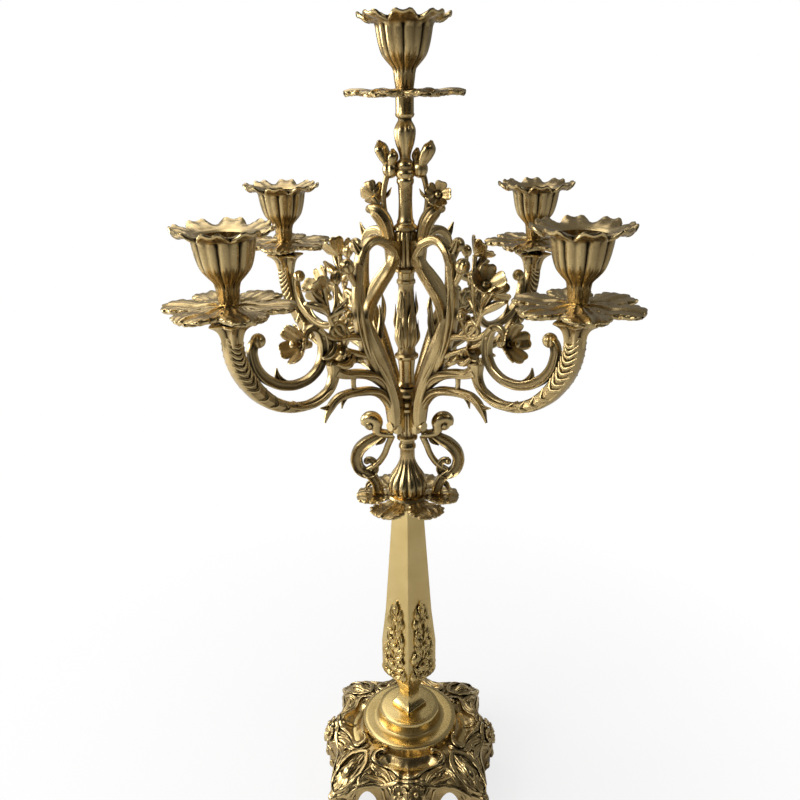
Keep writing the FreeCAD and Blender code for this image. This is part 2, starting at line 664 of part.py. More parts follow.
def scroll_bracket():
    """An S-scroll beside the bell collar, from the lower hub down to just above the dish."""
    foot_z = COLLAR_Z - 1 + PIECE_GAP

    def spot(r, z):
        """A point whose height runs from the dish, at 0, to the lower hub's foot, at 36."""
        return V(r, 0, foot_z + z * (LOWER_HUB_Z - foot_z) / 36.0)

    neck = strand([spot(20, 43), spot(15.5, 38.6), spot(7, 38.6)], [2.2, 2.2, 2.4], STRAP_THICKNESS)
    loop = strand(
        [spot(15.5, 38.5), spot(24, 32), spot(28.6, 23), spot(25, 13.5), spot(19.5, 8), spot(18, -3)],
        [2.2, 2.4, 2.6, 2.6, 2.6, 3.0], STRAP_THICKNESS)
    brace = strand([spot(11, 38), spot(13, 29), spot(18, 20), spot(24.5, 14)], [1.9] * 4, TWIG_THICKNESS)
    curl = knob(spot(21.5, 46), 5.4, ARM_THICKNESS)
    lug = plate(HUB_FLAT, HUB_FLAT + 3, LOWER_HUB_Z + 0.2, LOWER_HUB_Z + 5, LUG_THICKNESS)
    casting = joined([neck, loop, brace, curl, lug])
    stem_side = Part.makeBox(2 * HUB_FLAT, 40, 100, V(-HUB_FLAT, -20, COLLAR_Z))
    under_foot = Part.makeBox(60, 40, 20, V(0, -20, foot_z - 20))
    return casting.cut(Part.makeCompound([stem_side, under_foot])).removeSplitter()


def placed_cup_set(nodes, name, pan_shape, azimuth, reach, seat_z):
    """A pan, washer and cup in a stack on one seat."""
    stack = {
        "pan_" + name: (pan_shape, seat_z),
        "cup_washer_" + name: (washer(), seat_z + PAN_THICKNESS),
        "cup_" + name: (cup(), seat_z + PAN_THICKNESS + WASHER_THICKNESS),
    }
    for node, (shape, z) in stack.items():
        nodes[node] = at_azimuth(shape, azimuth, reach, z)


def all_nodes():
    nodes = {
        "base_casting": base_casting(),
        "stepped_plinth": stepped_plinth(),
        "foot_knop": foot_knop(),
        "column": column(),
        "leaf_dish": leaf_dish(),
        "tie_rod": tie_rod(),
        "base_washer": base_washer(),
        "base_nut": base_nut(),
        "bell_collar": bell_collar(),
        "lower_hub": lower_hub(),
        "stem_knop": stem_knop(),
        "baluster": baluster(),
        "upper_hub": upper_hub(),
        "upper_stem": upper_stem(),
        "finial_socket": finial_socket(),
    }
    screws = []
    for index in range(ARM_COUNT):
        azimuth = arm_azimuth(index)
        number = str(index + 1)
        nodes["arm_" + number] = at_azimuth(arm(), azimuth)
        nodes["arm_flowers_" + number] = at_azimuth(arm_flowers(), azimuth)
        nodes["arm_socket_" + number] = at_azimuth(arm_socket(), azimuth, ARM_REACH)
        screws.append(at_azimuth(arm_screw(), azimuth))
        placed_cup_set(nodes, number, pan(15), azimuth, ARM_REACH, ARM_SEAT_Z)
    nodes["arm_screws"] = Part.makeCompound(screws)
    for side, azimuth in (("right", 0), ("left", 180)):
        nodes["upper_branch_" + side] = at_azimuth(upper_branch(), azimuth)
        nodes["upper_flower_" + side] = at_azimuth(upper_flower(), azimuth)
        nodes["scroll_bracket_" + side] = at_azimuth(scroll_bracket(), azimuth)
    placed_cup_set(nodes, "centre", pan(0), 0, 0, CENTRE_SEAT_Z)
    return nodes


def main():
    os.makedirs("parts", exist_ok=True)
    for name, shape in all_nodes().items():
        solids = shape.Solids
        box = shape.BoundBox
        state = "valid" if shape.isValid() else "NOT VALID"
        levels = f"z {box.ZMin:.1f}..{box.ZMax:.1f}"
        print(f"{name:24s} {len(solids)} solid(s) {state} {shape.Volume:9.1f} mm3 {levels}")
        shape.exportStep(os.path.join("parts", name + ".step"))


main()
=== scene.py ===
"""Visual model of a five-light candelabra in cast brass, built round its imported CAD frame.

Every piece is drawn in millimetres and brought to metres when it is finished. The stem stands on the
origin, +Z is up, the base's sides face X and Y, and the four arms stand on the diagonals.
"""

import json
import logging
import math
from dataclasses import dataclass, field
from enum import Enum
from functools import lru_cache
from typing import Callable, Sequence

import bmesh
import bpy
from mathutils import Matrix, Vector

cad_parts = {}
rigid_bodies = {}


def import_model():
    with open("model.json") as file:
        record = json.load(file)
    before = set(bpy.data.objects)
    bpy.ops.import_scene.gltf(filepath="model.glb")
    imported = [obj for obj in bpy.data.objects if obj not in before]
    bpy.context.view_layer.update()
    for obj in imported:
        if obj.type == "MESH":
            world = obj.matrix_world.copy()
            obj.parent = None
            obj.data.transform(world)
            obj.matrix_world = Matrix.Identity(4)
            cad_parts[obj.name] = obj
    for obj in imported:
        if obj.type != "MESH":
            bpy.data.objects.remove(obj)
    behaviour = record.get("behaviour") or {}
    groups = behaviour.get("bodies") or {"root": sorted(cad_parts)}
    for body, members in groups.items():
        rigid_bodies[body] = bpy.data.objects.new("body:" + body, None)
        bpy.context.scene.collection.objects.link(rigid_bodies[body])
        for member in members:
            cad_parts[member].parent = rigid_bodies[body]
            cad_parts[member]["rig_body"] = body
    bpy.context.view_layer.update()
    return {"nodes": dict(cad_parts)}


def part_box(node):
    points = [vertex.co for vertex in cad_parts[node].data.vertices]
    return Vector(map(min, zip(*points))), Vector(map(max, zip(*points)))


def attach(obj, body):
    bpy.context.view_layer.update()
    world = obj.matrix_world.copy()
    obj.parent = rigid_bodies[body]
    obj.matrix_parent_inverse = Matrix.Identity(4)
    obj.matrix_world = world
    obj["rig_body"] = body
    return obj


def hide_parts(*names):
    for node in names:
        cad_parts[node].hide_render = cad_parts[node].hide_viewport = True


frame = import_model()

LOG = logging.getLogger("candelabra")
MM = 0.001
ARM_REACH = 112.0
DIAGONALS = (45, 135, 225, 315)
ROD_HOLE = 2.6
STUD_HOLE = 3.1

Piece = bpy.types.Object
Place = Sequence[float]
Test = Callable[[Vector], bool]


def polar(radius: float, degrees: float, z: float = 0.0) -> Vector:
    """A point at a radius and azimuth round the Z axis."""
    angle = math.radians(degrees)
    return Vector((radius * math.cos(angle), radius * math.sin(angle), z))


def rotation(degrees: float, axis: str) -> Matrix:
    """A turn about an axis through the origin."""
    return Matrix.Rotation(math.radians(degrees), 4, axis)


def translation(x: float, y: float, z: float) -> Matrix:
    """A move without a turn."""
    return Matrix.Translation((x, y, z))


def blend(a: float, b: float, share: float) -> float:
    """A value between a and b."""
    return a + (b - a) * share


def table(rows: Sequence[Place], x: float) -> float:
    """Reads y at x from rows of (x, y), with straight runs between them."""
    if x <= rows[0][0]:
        return rows[0][1]
    for (x0, y0), (x1, y1) in zip(rows, rows[1:]):
        if x <= x1:
            return blend(y0, y1, (x - x0) / (x1 - x0))
    return rows[-1][1]


def smooth(points: Sequence[Place], steps: int) -> list[tuple[float, ...]]:
    """A smooth line through the points.

    Args:
        points: The places it passes through.
        steps: How many runs it has between two of them.

    Returns:
        The points of the line, ends included.
    """
    line = []
    last = len(points) - 1
    for index in range(last):
        before, start = points[max(index - 1, 0)], points[index]
        end, after = points[index + 1], points[min(index + 2, last)]
        for step in range(steps):
            t = step / steps
            line.append(tuple(
                0.5 * (2 * b + (c - a) * t + (2 * a - 5 * b + 4 * c - d) * t * t
                       + (3 * b - a - 3 * c + d) * t ** 3)
                for a, b, c, d in zip(before, start, end, after)))
    line.append(tuple(points[last]))
    return line


def curl(centre: Place, radii: Place, start: float, turn: float, count: int) -> list[tuple[float, float]]:
    """A spiral in a casting's plane.

    Args:
        centre: Its eye.
        radii: The radius at its start and at its end.
        start: The angle it starts at, in degrees.
        turn: How far it winds, in degrees.
        count: How many points it has.

    Returns:
        The points from its start to its eye.
    """
    points = []
    for index in range(count):
        share = index / (count - 1)
        radius = blend(radii[0], radii[1], share)
        angle = math.radians(start + turn * share)
        points.append((centre[0] + radius * math.cos(angle), centre[1] + radius * math.sin(angle)))
    return points


class Section(Enum):
    """The outline that a strand is cast with: a quarter of it, from its edge to the middle of its face."""

    ROUND = ((1, 0), (0.92, 0.36), (0.7, 0.65), (0.38, 0.84), (0, 0.9))
    STRAP = ((1, 0), (0.98, 0.34), (0.86, 0.6), (0.6, 0.68), (0.3, 0.66), (0, 0.66))
    CHANNEL = ((1, 0), (1, 0.34), (0.9, 0.6), (0.76, 0.66), (0.62, 0.56), (0.46, 0.4), (0.22, 0.34),
               (0, 0.33))
    VEINED = ((1, 0), (0.98, 0.32), (0.9, 0.54), (0.76, 0.64), (0.6, 0.64), (0.46, 0.68), (0.3, 0.74),
              (0.14, 0.76), (0, 0.81))
    LOBE = ((1, 0), (0.96, 0.22), (0.82, 0.42), (0.55, 0.5), (0.25, 0.46), (0.09, 0.57), (0, 0.61))
    LEAF = ((1, 0), (0.95, 0.16), (0.8, 0.22), (0.5, 0.14), (0.22, 0.2), (0.08, 0.36), (0, 0.4))

    def outline(self) -> list[tuple[float, float]]:
        """The whole closed outline."""
        quarter = list(self.value)
        half = quarter + [(-x, y) for x, y in quarter[-2::-1]]
        return half + [(x, -y) for x, y in half[-2:0:-1]]


class Bench:
    """Edit-mode work shared by all the sub-assemblies."""

    @staticmethod
    def clear() -> None:
        """Leaves edit mode and selects nothing."""
        if bpy.context.object and bpy.context.object.mode != "OBJECT":
            bpy.ops.object.mode_set(mode="OBJECT")
        bpy.ops.object.select_all(action="DESELECT")

    @staticmethod
    def hold(piece: Piece) -> None:
        """Makes one piece selected and active."""
        Bench.clear()
        piece.select_set(True)
        bpy.context.view_layer.objects.active = piece

    @staticmethod
    def edit(piece: Piece) -> None:
        """Opens a piece in edit mode with nothing selected."""
        Bench.hold(piece)
        bpy.ops.object.mode_set(mode="EDIT")
        bpy.ops.mesh.select_mode(type="VERT")
        bpy.ops.mesh.select_all(action="DESELECT")

    @staticmethod
    def start(kind: str, **settings: object) -> Piece:
        """Adds a primitive, opens it in edit mode with all of it selected, and returns it."""
        Bench.clear()
        getattr(bpy.ops.mesh, f"primitive_{kind}_add")(**settings)
        piece = bpy.context.active_object
        bpy.ops.object.mode_set(mode="EDIT")
        bpy.ops.mesh.select_mode(type="VERT")
        bpy.ops.mesh.select_all(action="SELECT")
        return piece

    @staticmethod
    def mark(piece: Piece, chosen: Sequence[bool]) -> None:
        """Selects, in edit mode, the vertices that have a true flag."""
        mesh = bmesh.from_edit_mesh(piece.data)
        for vertex, flag in zip(mesh.verts, chosen):
            vertex.select_set(flag)
        mesh.select_flush_mode()
        bmesh.update_edit_mesh(piece.data)

    @staticmethod
    def pick(piece: Piece, test: Test) -> None:
        """Selects, in edit mode, the vertices whose place passes a test."""
        bpy.ops.mesh.select_mode(type="VERT")
        bpy.ops.mesh.select_all(action="DESELECT")
        Bench.mark(piece, [test(vertex.co) for vertex in bmesh.from_edit_mesh(piece.data).verts])

    @staticmethod
    def move(x: float = 0, y: float = 0, z: float = 0) -> None:
        """Moves the selection."""
        bpy.ops.transform.translate(value=(x, y, z))

    @staticmethod
    def resize(x: float, y: float, z: float, about: Place = (0, 0, 0)) -> None:
        """Scales the selection about a point."""
        bpy.ops.transform.resize(value=(x, y, z), center_override=about)

    @staticmethod
    def extrude(x: float = 0, y: float = 0, z: float = 0) -> None:
        """Extrudes the selection by a step."""
        bpy.ops.mesh.extrude_region_move(TRANSFORM_OT_translate={"value": (x, y, z)})

    @staticmethod
    def close(piece: Piece, distance: float = 0.004) -> None:
        """Merges doubled vertices and turns the faces outwards."""
        Bench.edit(piece)
        bpy.ops.mesh.select_all(action="SELECT")
        bpy.ops.mesh.remove_doubles(threshold=distance)
        bpy.ops.mesh.normals_make_consistent(inside=False)
        Bench.clear()

    @staticmethod
    def modify(piece: Piece, kind: str, **settings: object) -> None:
        """Adds a modifier and applies it."""
        modifier = piece.modifiers.new(kind.title(), kind)
        for name, value in settings.items():
            setattr(modifier, name, value)
        Bench.hold(piece)
        bpy.ops.object.modifier_apply(modifier=modifier.name)

    @staticmethod
    def round_off(piece: Piece, levels: int = 1) -> None:
        """Rounds a piece with an applied subdivision surface."""
        Bench.modify(piece, "SUBSURF", levels=levels, render_levels=levels)

    @staticmethod
    def join(pieces: Sequence[Piece]) -> Piece:
        """Joins pieces into the first one."""
        Bench.hold(pieces[0])
        for piece in pieces:
            piece.select_set(True)
        if len(pieces) > 1:
            bpy.ops.object.join()
        return pieces[0]

    @staticmethod
    def copy(piece: Piece, matrix: Matrix = Matrix.Identity(4)) -> Piece:
        """A copy with its own mesh, put elsewhere."""
        twin = piece.copy()
        twin.data = piece.data.copy()
        bpy.context.scene.collection.objects.link(twin)
        return Bench.place(twin, matrix)

    @staticmethod
    def place(piece: Piece, matrix: Matrix) -> Piece:
        """Moves a piece's mesh, and turns its faces back out if the move mirrors it."""
        piece.data.transform(matrix)
        if matrix.determinant() < 0:
            piece.data.flip_normals()
        return piece

    @staticmethod
    def ring(piece: Piece, count: int, first: float = 0.0) -> Piece:
        """Repeats a piece evenly round the Z axis and joins the copies."""
        copies = [Bench.copy(piece, rotation(first + 360 / count * index, "Z"))
                  for index in range(count)]
        bpy.data.objects.remove(piece)
        return Bench.join(copies)


@dataclass(frozen=True)
class Strand:
    """A cast strand: an outline carried along a smooth line, with a half width at each point.

    Points of two numbers lie in the casting's XZ plane, and points of three are free in space.
    """

    line: Sequence[Place]
    widths: Sequence[float]
    section: Section = Section.ROUND
    depth: float = 1.0
    side: float = 0.0
    fineness: int = 5

    def build(self) -> Piece:
        """Makes the strand's mesh."""
        flat = len(self.line[0]) == 2
        outline = bpy.data.curves.new("outline", "CURVE")
        outline.dimensions = "2D"
        corners = self.section.outline()
        edge = outline.splines.new("POLY")
        edge.points.add(len(corners) - 1)
        for point, (x, y) in zip(edge.points, corners):
            point.co = (x, y * self.depth, 0, 1)
        edge.use_cyclic_u = True
        section = bpy.data.objects.new("outline", outline)
        curve = bpy.data.curves.new("strand", "CURVE")
        curve.dimensions = "2D" if flat else "3D"
        curve.fill_mode = "NONE" if flat else "FULL"
        curve.resolution_u = self.fineness
        spline = curve.splines.new("BEZIER")
        spline.bezier_points.add(len(self.line) - 1)
        spline.radius_interpolation = "CARDINAL"
        for index, (point, spot) in enumerate(zip(spline.bezier_points, self.line)):
            point.co = (spot[0], spot[1], 0) if flat else spot
            point.radius = self.widths[min(index, len(self.widths) - 1)]
            point.handle_left_type = point.handle_right_type = "AUTO"
        curve.bevel_mode = "OBJECT"
        curve.bevel_object = section
        curve.use_fill_caps = True
        piece = bpy.data.objects.new("strand", curve)
        bpy.context.scene.collection.objects.link(piece)
        Bench.hold(piece)
        bpy.ops.object.convert(target="MESH")
        piece = bpy.context.active_object
        bpy.data.objects.remove(section)
        if flat:
            turn = translation(0, self.side, 0) @ rotation(90, "X")
            piece.data.transform(turn)
        Bench.close(piece)
        return piece


@dataclass(frozen=True)
class Bud:
    """A round bud or knob with shallow folds that meet at its ends."""

    place: Place
    radius: float
    stretch: float = 1.0
    folds: int = 6
    tilt: float = 0.0

    def build(self) -> Piece:
        """Makes the bud, upright and then leaned over in the casting's plane."""
        piece = Bench.start("uv_sphere", segments=4 * self.folds, ring_count=12, radius=self.radius)
        sector = 360 / self.folds

        def in_fold(spot: Vector) -> bool:
            """True in the bottom of a fold."""
            angle = math.degrees(math.atan2(spot.y, spot.x)) % sector
            return min(angle, sector - angle) < sector / 8

        Bench.pick(piece, in_fold)
        Bench.resize(0.82, 0.82, 1)
        bpy.ops.mesh.select_all(action="SELECT")
        Bench.resize(1, 1, self.stretch)
        Bench.clear()
        lean = rotation(self.tilt, "Y")
        return Bench.place(piece, Matrix.Translation(spot_3d(self.place)) @ lean)


def spot_3d(place: Place) -> Vector:
    """A place in the casting's plane, or in space, as a vector."""
    return Vector((place[0], 0, place[1])) if len(place) == 2 else Vector(place)


@dataclass(frozen=True)
class Blossom:
    """An open flower of cupped petals round a beaded eye, made facing +Z."""

    radius: float
    petals: int = 5
    cup: float = 35.0
    eye: float = 0.26

    def build(self) -> Piece:
        """Makes the flower with its back at the origin."""
        length = self.radius / math.cos(math.radians(self.cup))
        petal = Bench.start("grid", x_subdivisions=6, y_subdivisions=6, size=2)
        outline = ((-1, 0.26), (-0.6, 0.46), (-0.2, 0.66), (0.2, 0.8), (0.6, 0.84), (1, 0.6))
        for x in (-1, -0.6667, -0.3333, 0, 0.3333, 0.6667, 1):
            Bench.pick(petal, lambda spot, x=x: abs(spot.x - x) < 0.05)
            Bench.resize(1, table(outline, x), 1, (x, 0, 0))
            Bench.move(z=0.16 * x * x)
        Bench.pick(petal, lambda spot: spot.x > 0.9 and abs(spot.y) < 0.05)
        Bench.move(x=-0.1)
        Bench.pick(petal, lambda spot: spot.x > 0.9 and abs(spot.y) > 0.5)
        Bench.move(x=-0.14, z=0.1)
        Bench.pick(petal, lambda spot: abs(spot.y) < 0.02)
        Bench.move(z=-0.14)
        bpy.ops.mesh.select_all(action="SELECT")
        Bench.move(x=1)
        Bench.resize(0.5 * length, 0.62 * self.radius, 0.34 * self.radius)
        Bench.clear()
        Bench.modify(petal, "SOLIDIFY", thickness=min(1.2, 0.2 * self.radius), offset=-1)
        Bench.round_off(petal)
        Bench.place(petal, rotation(-self.cup, "Y"))
        flower = Bench.ring(petal, self.petals)
        eye = Bench.start("ico_sphere", subdivisions=2, radius=self.eye * self.radius)
        bpy.ops.mesh.bevel(offset=0.06 * self.radius, affect="VERTICES")
        Bench.resize(1, 1, 0.7)
        Bench.move(z=0.2 * self.radius)
        Bench.clear()
        return Bench.join([flower, eye])


def turned_piece(profile: Sequence[Place], steps: int = 64) -> Piece:
    """Draws a profile of (radius, z) points and spins it round the Z axis into a closed piece."""
    piece = Bench.start("plane", size=1)
    bpy.ops.mesh.merge(type="CENTER")
    Bench.move(x=profile[0][0], z=profile[0][1])
    for (r0, z0), (r1, z1) in zip(profile, profile[1:]):
        Bench.extrude(x=r1 - r0, z=z1 - z0)
    bpy.ops.mesh.select_all(action="SELECT")
    bpy.ops.mesh.spin(steps=steps, angle=math.tau, center=(0, 0, 0), axis=(0, 0, 1))
    Bench.close(piece)
    return piece


def flute(piece: Piece, low: float, high: float, shares: Sequence[float], repeats: int, steps: int,
          reach: float = 0.0) -> None:
    """Works lengthwise folds into a turned piece by drawing its columns in or out.

    Args:
        piece: The turned piece.
        low: Where the folds start, in z.
        high: Where they end.
        shares: The radius factor of each column of one fold, in order.
        repeats: How many folds there are round the piece.
        steps: How many columns the piece has.
        reach: The least radius that is worked, so that a bore stays round.
    """
    Bench.edit(piece)
    column = 360 / steps
    sector = steps // repeats

    def index_of(spot: Vector) -> int:
        """The column of a vertex within its fold."""
        return round((math.degrees(math.atan2(spot.y, spot.x)) % 360) / column) % sector

    for value in sorted(set(shares)):
        if value == 1:
            continue
        columns = {index for index, share in enumerate(shares) if share == value}
        Bench.pick(piece, lambda spot: low < spot.z < high and spot.xy.length > reach
                   and index_of(spot) in columns)
        Bench.resize(value, value, 1)
    Bench.clear()


class Wire:
    """A shader socket that takes part in sums and products."""

    def __init__(self, paint: "Paint", socket: bpy.types.NodeSocket) -> None:
        """Wraps a socket of a material."""
        self.paint = paint
        self.socket = socket

    def _maths(self, operation: str, *values: object) -> "Wire":
        """Adds a Math node."""
        return self.paint.node("ShaderNodeMath", {"operation": operation}, dict(enumerate(values)))

    def __add__(self, other: object) -> "Wire":
        """Sum."""
        return self._maths("ADD", self, other)

    __radd__ = __add__

    def __mul__(self, other: object) -> "Wire":
        """Product."""
        return self._maths("MULTIPLY", self, other)

    __rmul__ = __mul__

    def __sub__(self, other: object) -> "Wire":
        """Difference."""
        return self._maths("SUBTRACT", self, other)

    def __rsub__(self, other: object) -> "Wire":
        """Difference the other way round."""
        return self._maths("SUBTRACT", other, self)

    def clamp(self) -> "Wire":
        """The value held between 0 and 1."""
        return self.paint.node("ShaderNodeClamp", {}, {"Value": self})

    def spread(self, low: float, high: float) -> "Wire":
        """The value stretched so that low becomes 0 and high becomes 1, and held there."""
        return self.paint.node("ShaderNodeMapRange", {}, {"Value": self, "From Min": low, "From Max": high})


class Paint:
    """The nodes of a material or a world under construction."""

    def __init__(self, owner: bpy.types.Material | bpy.types.World) -> None:
        """Starts with no nodes."""
        self.owner = owner
        owner.use_nodes = True
        self.tree = owner.node_tree
        self.tree.nodes.clear()

    def node(self, kind: str, settings: dict, values: dict, output: object = 0) -> Wire:
        """Adds a node.

        Args:
            kind: The node's type.
            settings: Its own settings, and the stops of a ramp as "stops".
            values: Numbers, colours or wires for its sockets, by name or index.
            output: Which output to hand back.

        Returns:
            The wire from that output.
        """
        made = self.tree.nodes.new(kind)
        for name, value in settings.items():
            if name == "stops":
                while len(made.color_ramp.elements) < len(value):
                    made.color_ramp.elements.new(0.5)
                for element, (position, colour) in zip(made.color_ramp.elements, value):
                    element.position = position
                    element.color = (*colour, 1)
            else:
                setattr(made, name, value)
        for name, value in values.items():
            socket = made.inputs[name]
            if isinstance(value, Wire):
                self.tree.links.new(value.socket, socket)
            else:
                socket.default_value = value
        return Wire(self, made.outputs[output])

    def mix(self, factor: object, first: object, second: object) -> Wire:
        """Mixes two colours."""
        made = self.tree.nodes.new("ShaderNodeMix")
        made.data_type = "RGBA"
        for socket, value in zip((made.inputs[0], made.inputs[6], made.inputs[7]), (factor, first, second)):
            if isinstance(value, Wire):
                self.tree.links.new(value.socket, socket)
            elif isinstance(value, float):
                socket.default_value = value
            else:
                socket.default_value = (*value, 1)
        return Wire(self, made.outputs[2])

    def end(self, shader: Wire) -> bpy.types.Material | bpy.types.World:
        """Links the shader to the output and returns the material or world."""
        kind = "World" if isinstance(self.owner, bpy.types.World) else "Material"
        out = self.tree.nodes.new(f"ShaderNodeOutput{kind}")
        self.tree.links.new(shader.socket, out.inputs["Surface"])
        return self.owner


@dataclass(frozen=True)
class Brass:
    """Brass: bright on its sharp edges, partly as rubbed wear and partly as a painted highlight, brown in
    its hollows, and clouded by handling.
    """

    name: str
    bright: tuple[float, float, float] = (0.74, 0.57, 0.275)
    warm: tuple[float, float, float] = (0.40, 0.275, 0.115)
    brown: tuple[float, float, float] = (0.035, 0.025, 0.012)
    hollow: float = 1.4
    gloss: float = 0.2
    grain: float = 0.12
    hollow_reach: float = 0.0032

    def make(self) -> bpy.types.Material:
        """Builds the material."""
        paint = Paint(bpy.data.materials.new(self.name))
        place = paint.node("ShaderNodeTexCoord", {}, {}, "Object")
        cloud = paint.node("ShaderNodeTexNoise", {}, {"Vector": place, "Scale": 70.0, "Detail": 4.0})
        fine = paint.node("ShaderNodeTexNoise", {}, {"Vector": place, "Scale": 900.0, "Detail": 3.0})
        pits = paint.node("ShaderNodeTexNoise", {}, {"Vector": place, "Scale": 2600.0, "Detail": 2.0})
        shelter = paint.node("ShaderNodeAmbientOcclusion", {"samples": 6, "only_local": True},
                             {"Distance": self.hollow_reach}, "AO")
        edge = paint.node("ShaderNodeNewGeometry", {}, {}, "Pointiness")
        dip = 1 - edge.spread(0.43, 0.51)
        cavity = (((1 - shelter) * 1.25 + dip * 0.55 + (cloud - 0.5) * 0.35) * self.hollow).clamp()
        # Sharp edges, found by pointiness, are painted brighter in the base colour: partly rubbed wear,
        # partly a painted highlight.
        edge_highlight_and_wear = edge.spread(0.505, 0.56)
        body = paint.mix((cloud * 1.5 + fine * 0.35 - 0.58).clamp(), self.warm, self.bright)
        aged = paint.mix(cavity.spread(0.14, 0.8), body, self.brown)
        colour = paint.mix((edge_highlight_and_wear * 0.45).clamp(), aged, self.bright)
        rough = (self.gloss + cavity * 0.34 + fine * 0.14 - edge_highlight_and_wear * 0.07).clamp()
        bump = paint.node("ShaderNodeBump", {}, {"Height": fine * 0.6 + pits * 0.4, "Strength": self.grain,
                                                 "Distance": 0.0004})
        shader = paint.node("ShaderNodeBsdfPrincipled", {}, {
            "Base Color": colour, "Roughness": rough, "Metallic": 1.0, "Normal": bump})
        return paint.end(shader)


@dataclass(frozen=True)
class Steel:
    """Plain steel of the rod and its fastenings, dulled by oil."""

    name: str

    def make(self) -> bpy.types.Material:
        """Builds the material."""
        paint = Paint(bpy.data.materials.new(self.name))
        place = paint.node("ShaderNodeTexCoord", {}, {}, "Object")
        cloud = paint.node("ShaderNodeTexNoise", {}, {"Vector": place, "Scale": 160.0, "Detail": 5.0})
        colour = paint.mix(cloud.spread(0.3, 0.7), (0.16, 0.145, 0.125), (0.42, 0.41, 0.4))
        bump = paint.node("ShaderNodeBump", {}, {"Height": cloud, "Strength": 0.2, "Distance": 0.0003})
        shader = paint.node("ShaderNodeBsdfPrincipled", {}, {
            "Base Color": colour, "Roughness": cloud * 0.3 + 0.25, "Metallic": 1.0, "Normal": bump})
        return paint.end(shader)


class Finish(Enum):
    """The finishes of the candelabra: the material slot that each stands for, and its own name."""

    AGED = ("antique_brass", "aged_brass")
    CAST = ("antique_brass", "cast_brass")
    POLISHED = ("polished_brass", "satin_brass")
    STEEL = ("steel", "dull_steel")

    @property
    def slot(self) -> str:
        """The material slot."""
        return self.value[0]

    @property
    def label(self) -> str:
        """The material's own name."""
        return self.value[1]


class Workshop:
    """Makes the finishes once and sends finished pieces out on their bodies."""

    def __init__(self) -> None:
        """Makes the finishes."""
        self.materials = {
            Finish.AGED: Brass(Finish.AGED.label).make(),
            Finish.CAST: Brass(Finish.CAST.label, hollow=0.85, hollow_reach=0.0026).make(),
            Finish.POLISHED: Brass(Finish.POLISHED.label, bright=(0.78, 0.60, 0.27),
                                   warm=(0.60, 0.43, 0.16), hollow=0.5, gloss=0.2, grain=0.05,
                                   hollow_reach=0.004).make(),
            Finish.STEEL: Steel(Finish.STEEL.label).make(),
        }

    def send(self, piece: Piece, name: str, node: str, finish: Finish = Finish.AGED,
             matrix: Matrix = Matrix.Identity(4), crisp: float = 38.0) -> Piece:
        """Finishes a piece, puts it in place of a CAD node and lets it ride on that node's body.

        Args:
            piece: The piece, in millimetres.
            name: Its name.
            node: The CAD node it stands for.
            finish: What it is finished in.
            matrix: Where it goes, in millimetres.
            crisp: The angle from which an edge stays sharp, in degrees.

        Returns:
            The finished piece.
        """
        Bench.place(piece, Matrix.Scale(MM, 4) @ matrix)
        Bench.hold(piece)
        bpy.ops.object.shade_smooth_by_angle(angle=math.radians(crisp))
        piece.name = piece.data.name = name
        piece.data.materials.clear()
        piece.data.materials.append(self.materials[finish])
        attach(piece, frame["nodes"][node]["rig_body"])
        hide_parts(node)
        finish.slot
        LOG.info("%s: %d faces, for %s", name, len(piece.data.polygons), node)
        return piece

    def dress(self, node: str, finish: Finish) -> None:
        """Gives a CAD node that stays as it is its finish."""
        part = frame["nodes"][node]
        part.data.materials.clear()
        part.data.materials.append(self.materials[finish])
        LOG.info("%s keeps its CAD shape", node)


def about_z(degrees: float, x: float = 0.0, z: float = 0.0) -> Matrix:
    """The move that takes a piece out along X and up, and then turns it round the stem."""
    return rotation(degrees, "Z") @ translation(x, 0, z)


@lru_cache(maxsize=None)
def top_of(node: str) -> float:
    """The highest level of a CAD node, in millimetres."""
    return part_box(node)[1].z / MM


@lru_cache(maxsize=None)
def foot_of(node: str) -> float:
    """The lowest level of a CAD node, in millimetres."""
    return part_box(node)[0].z / MM


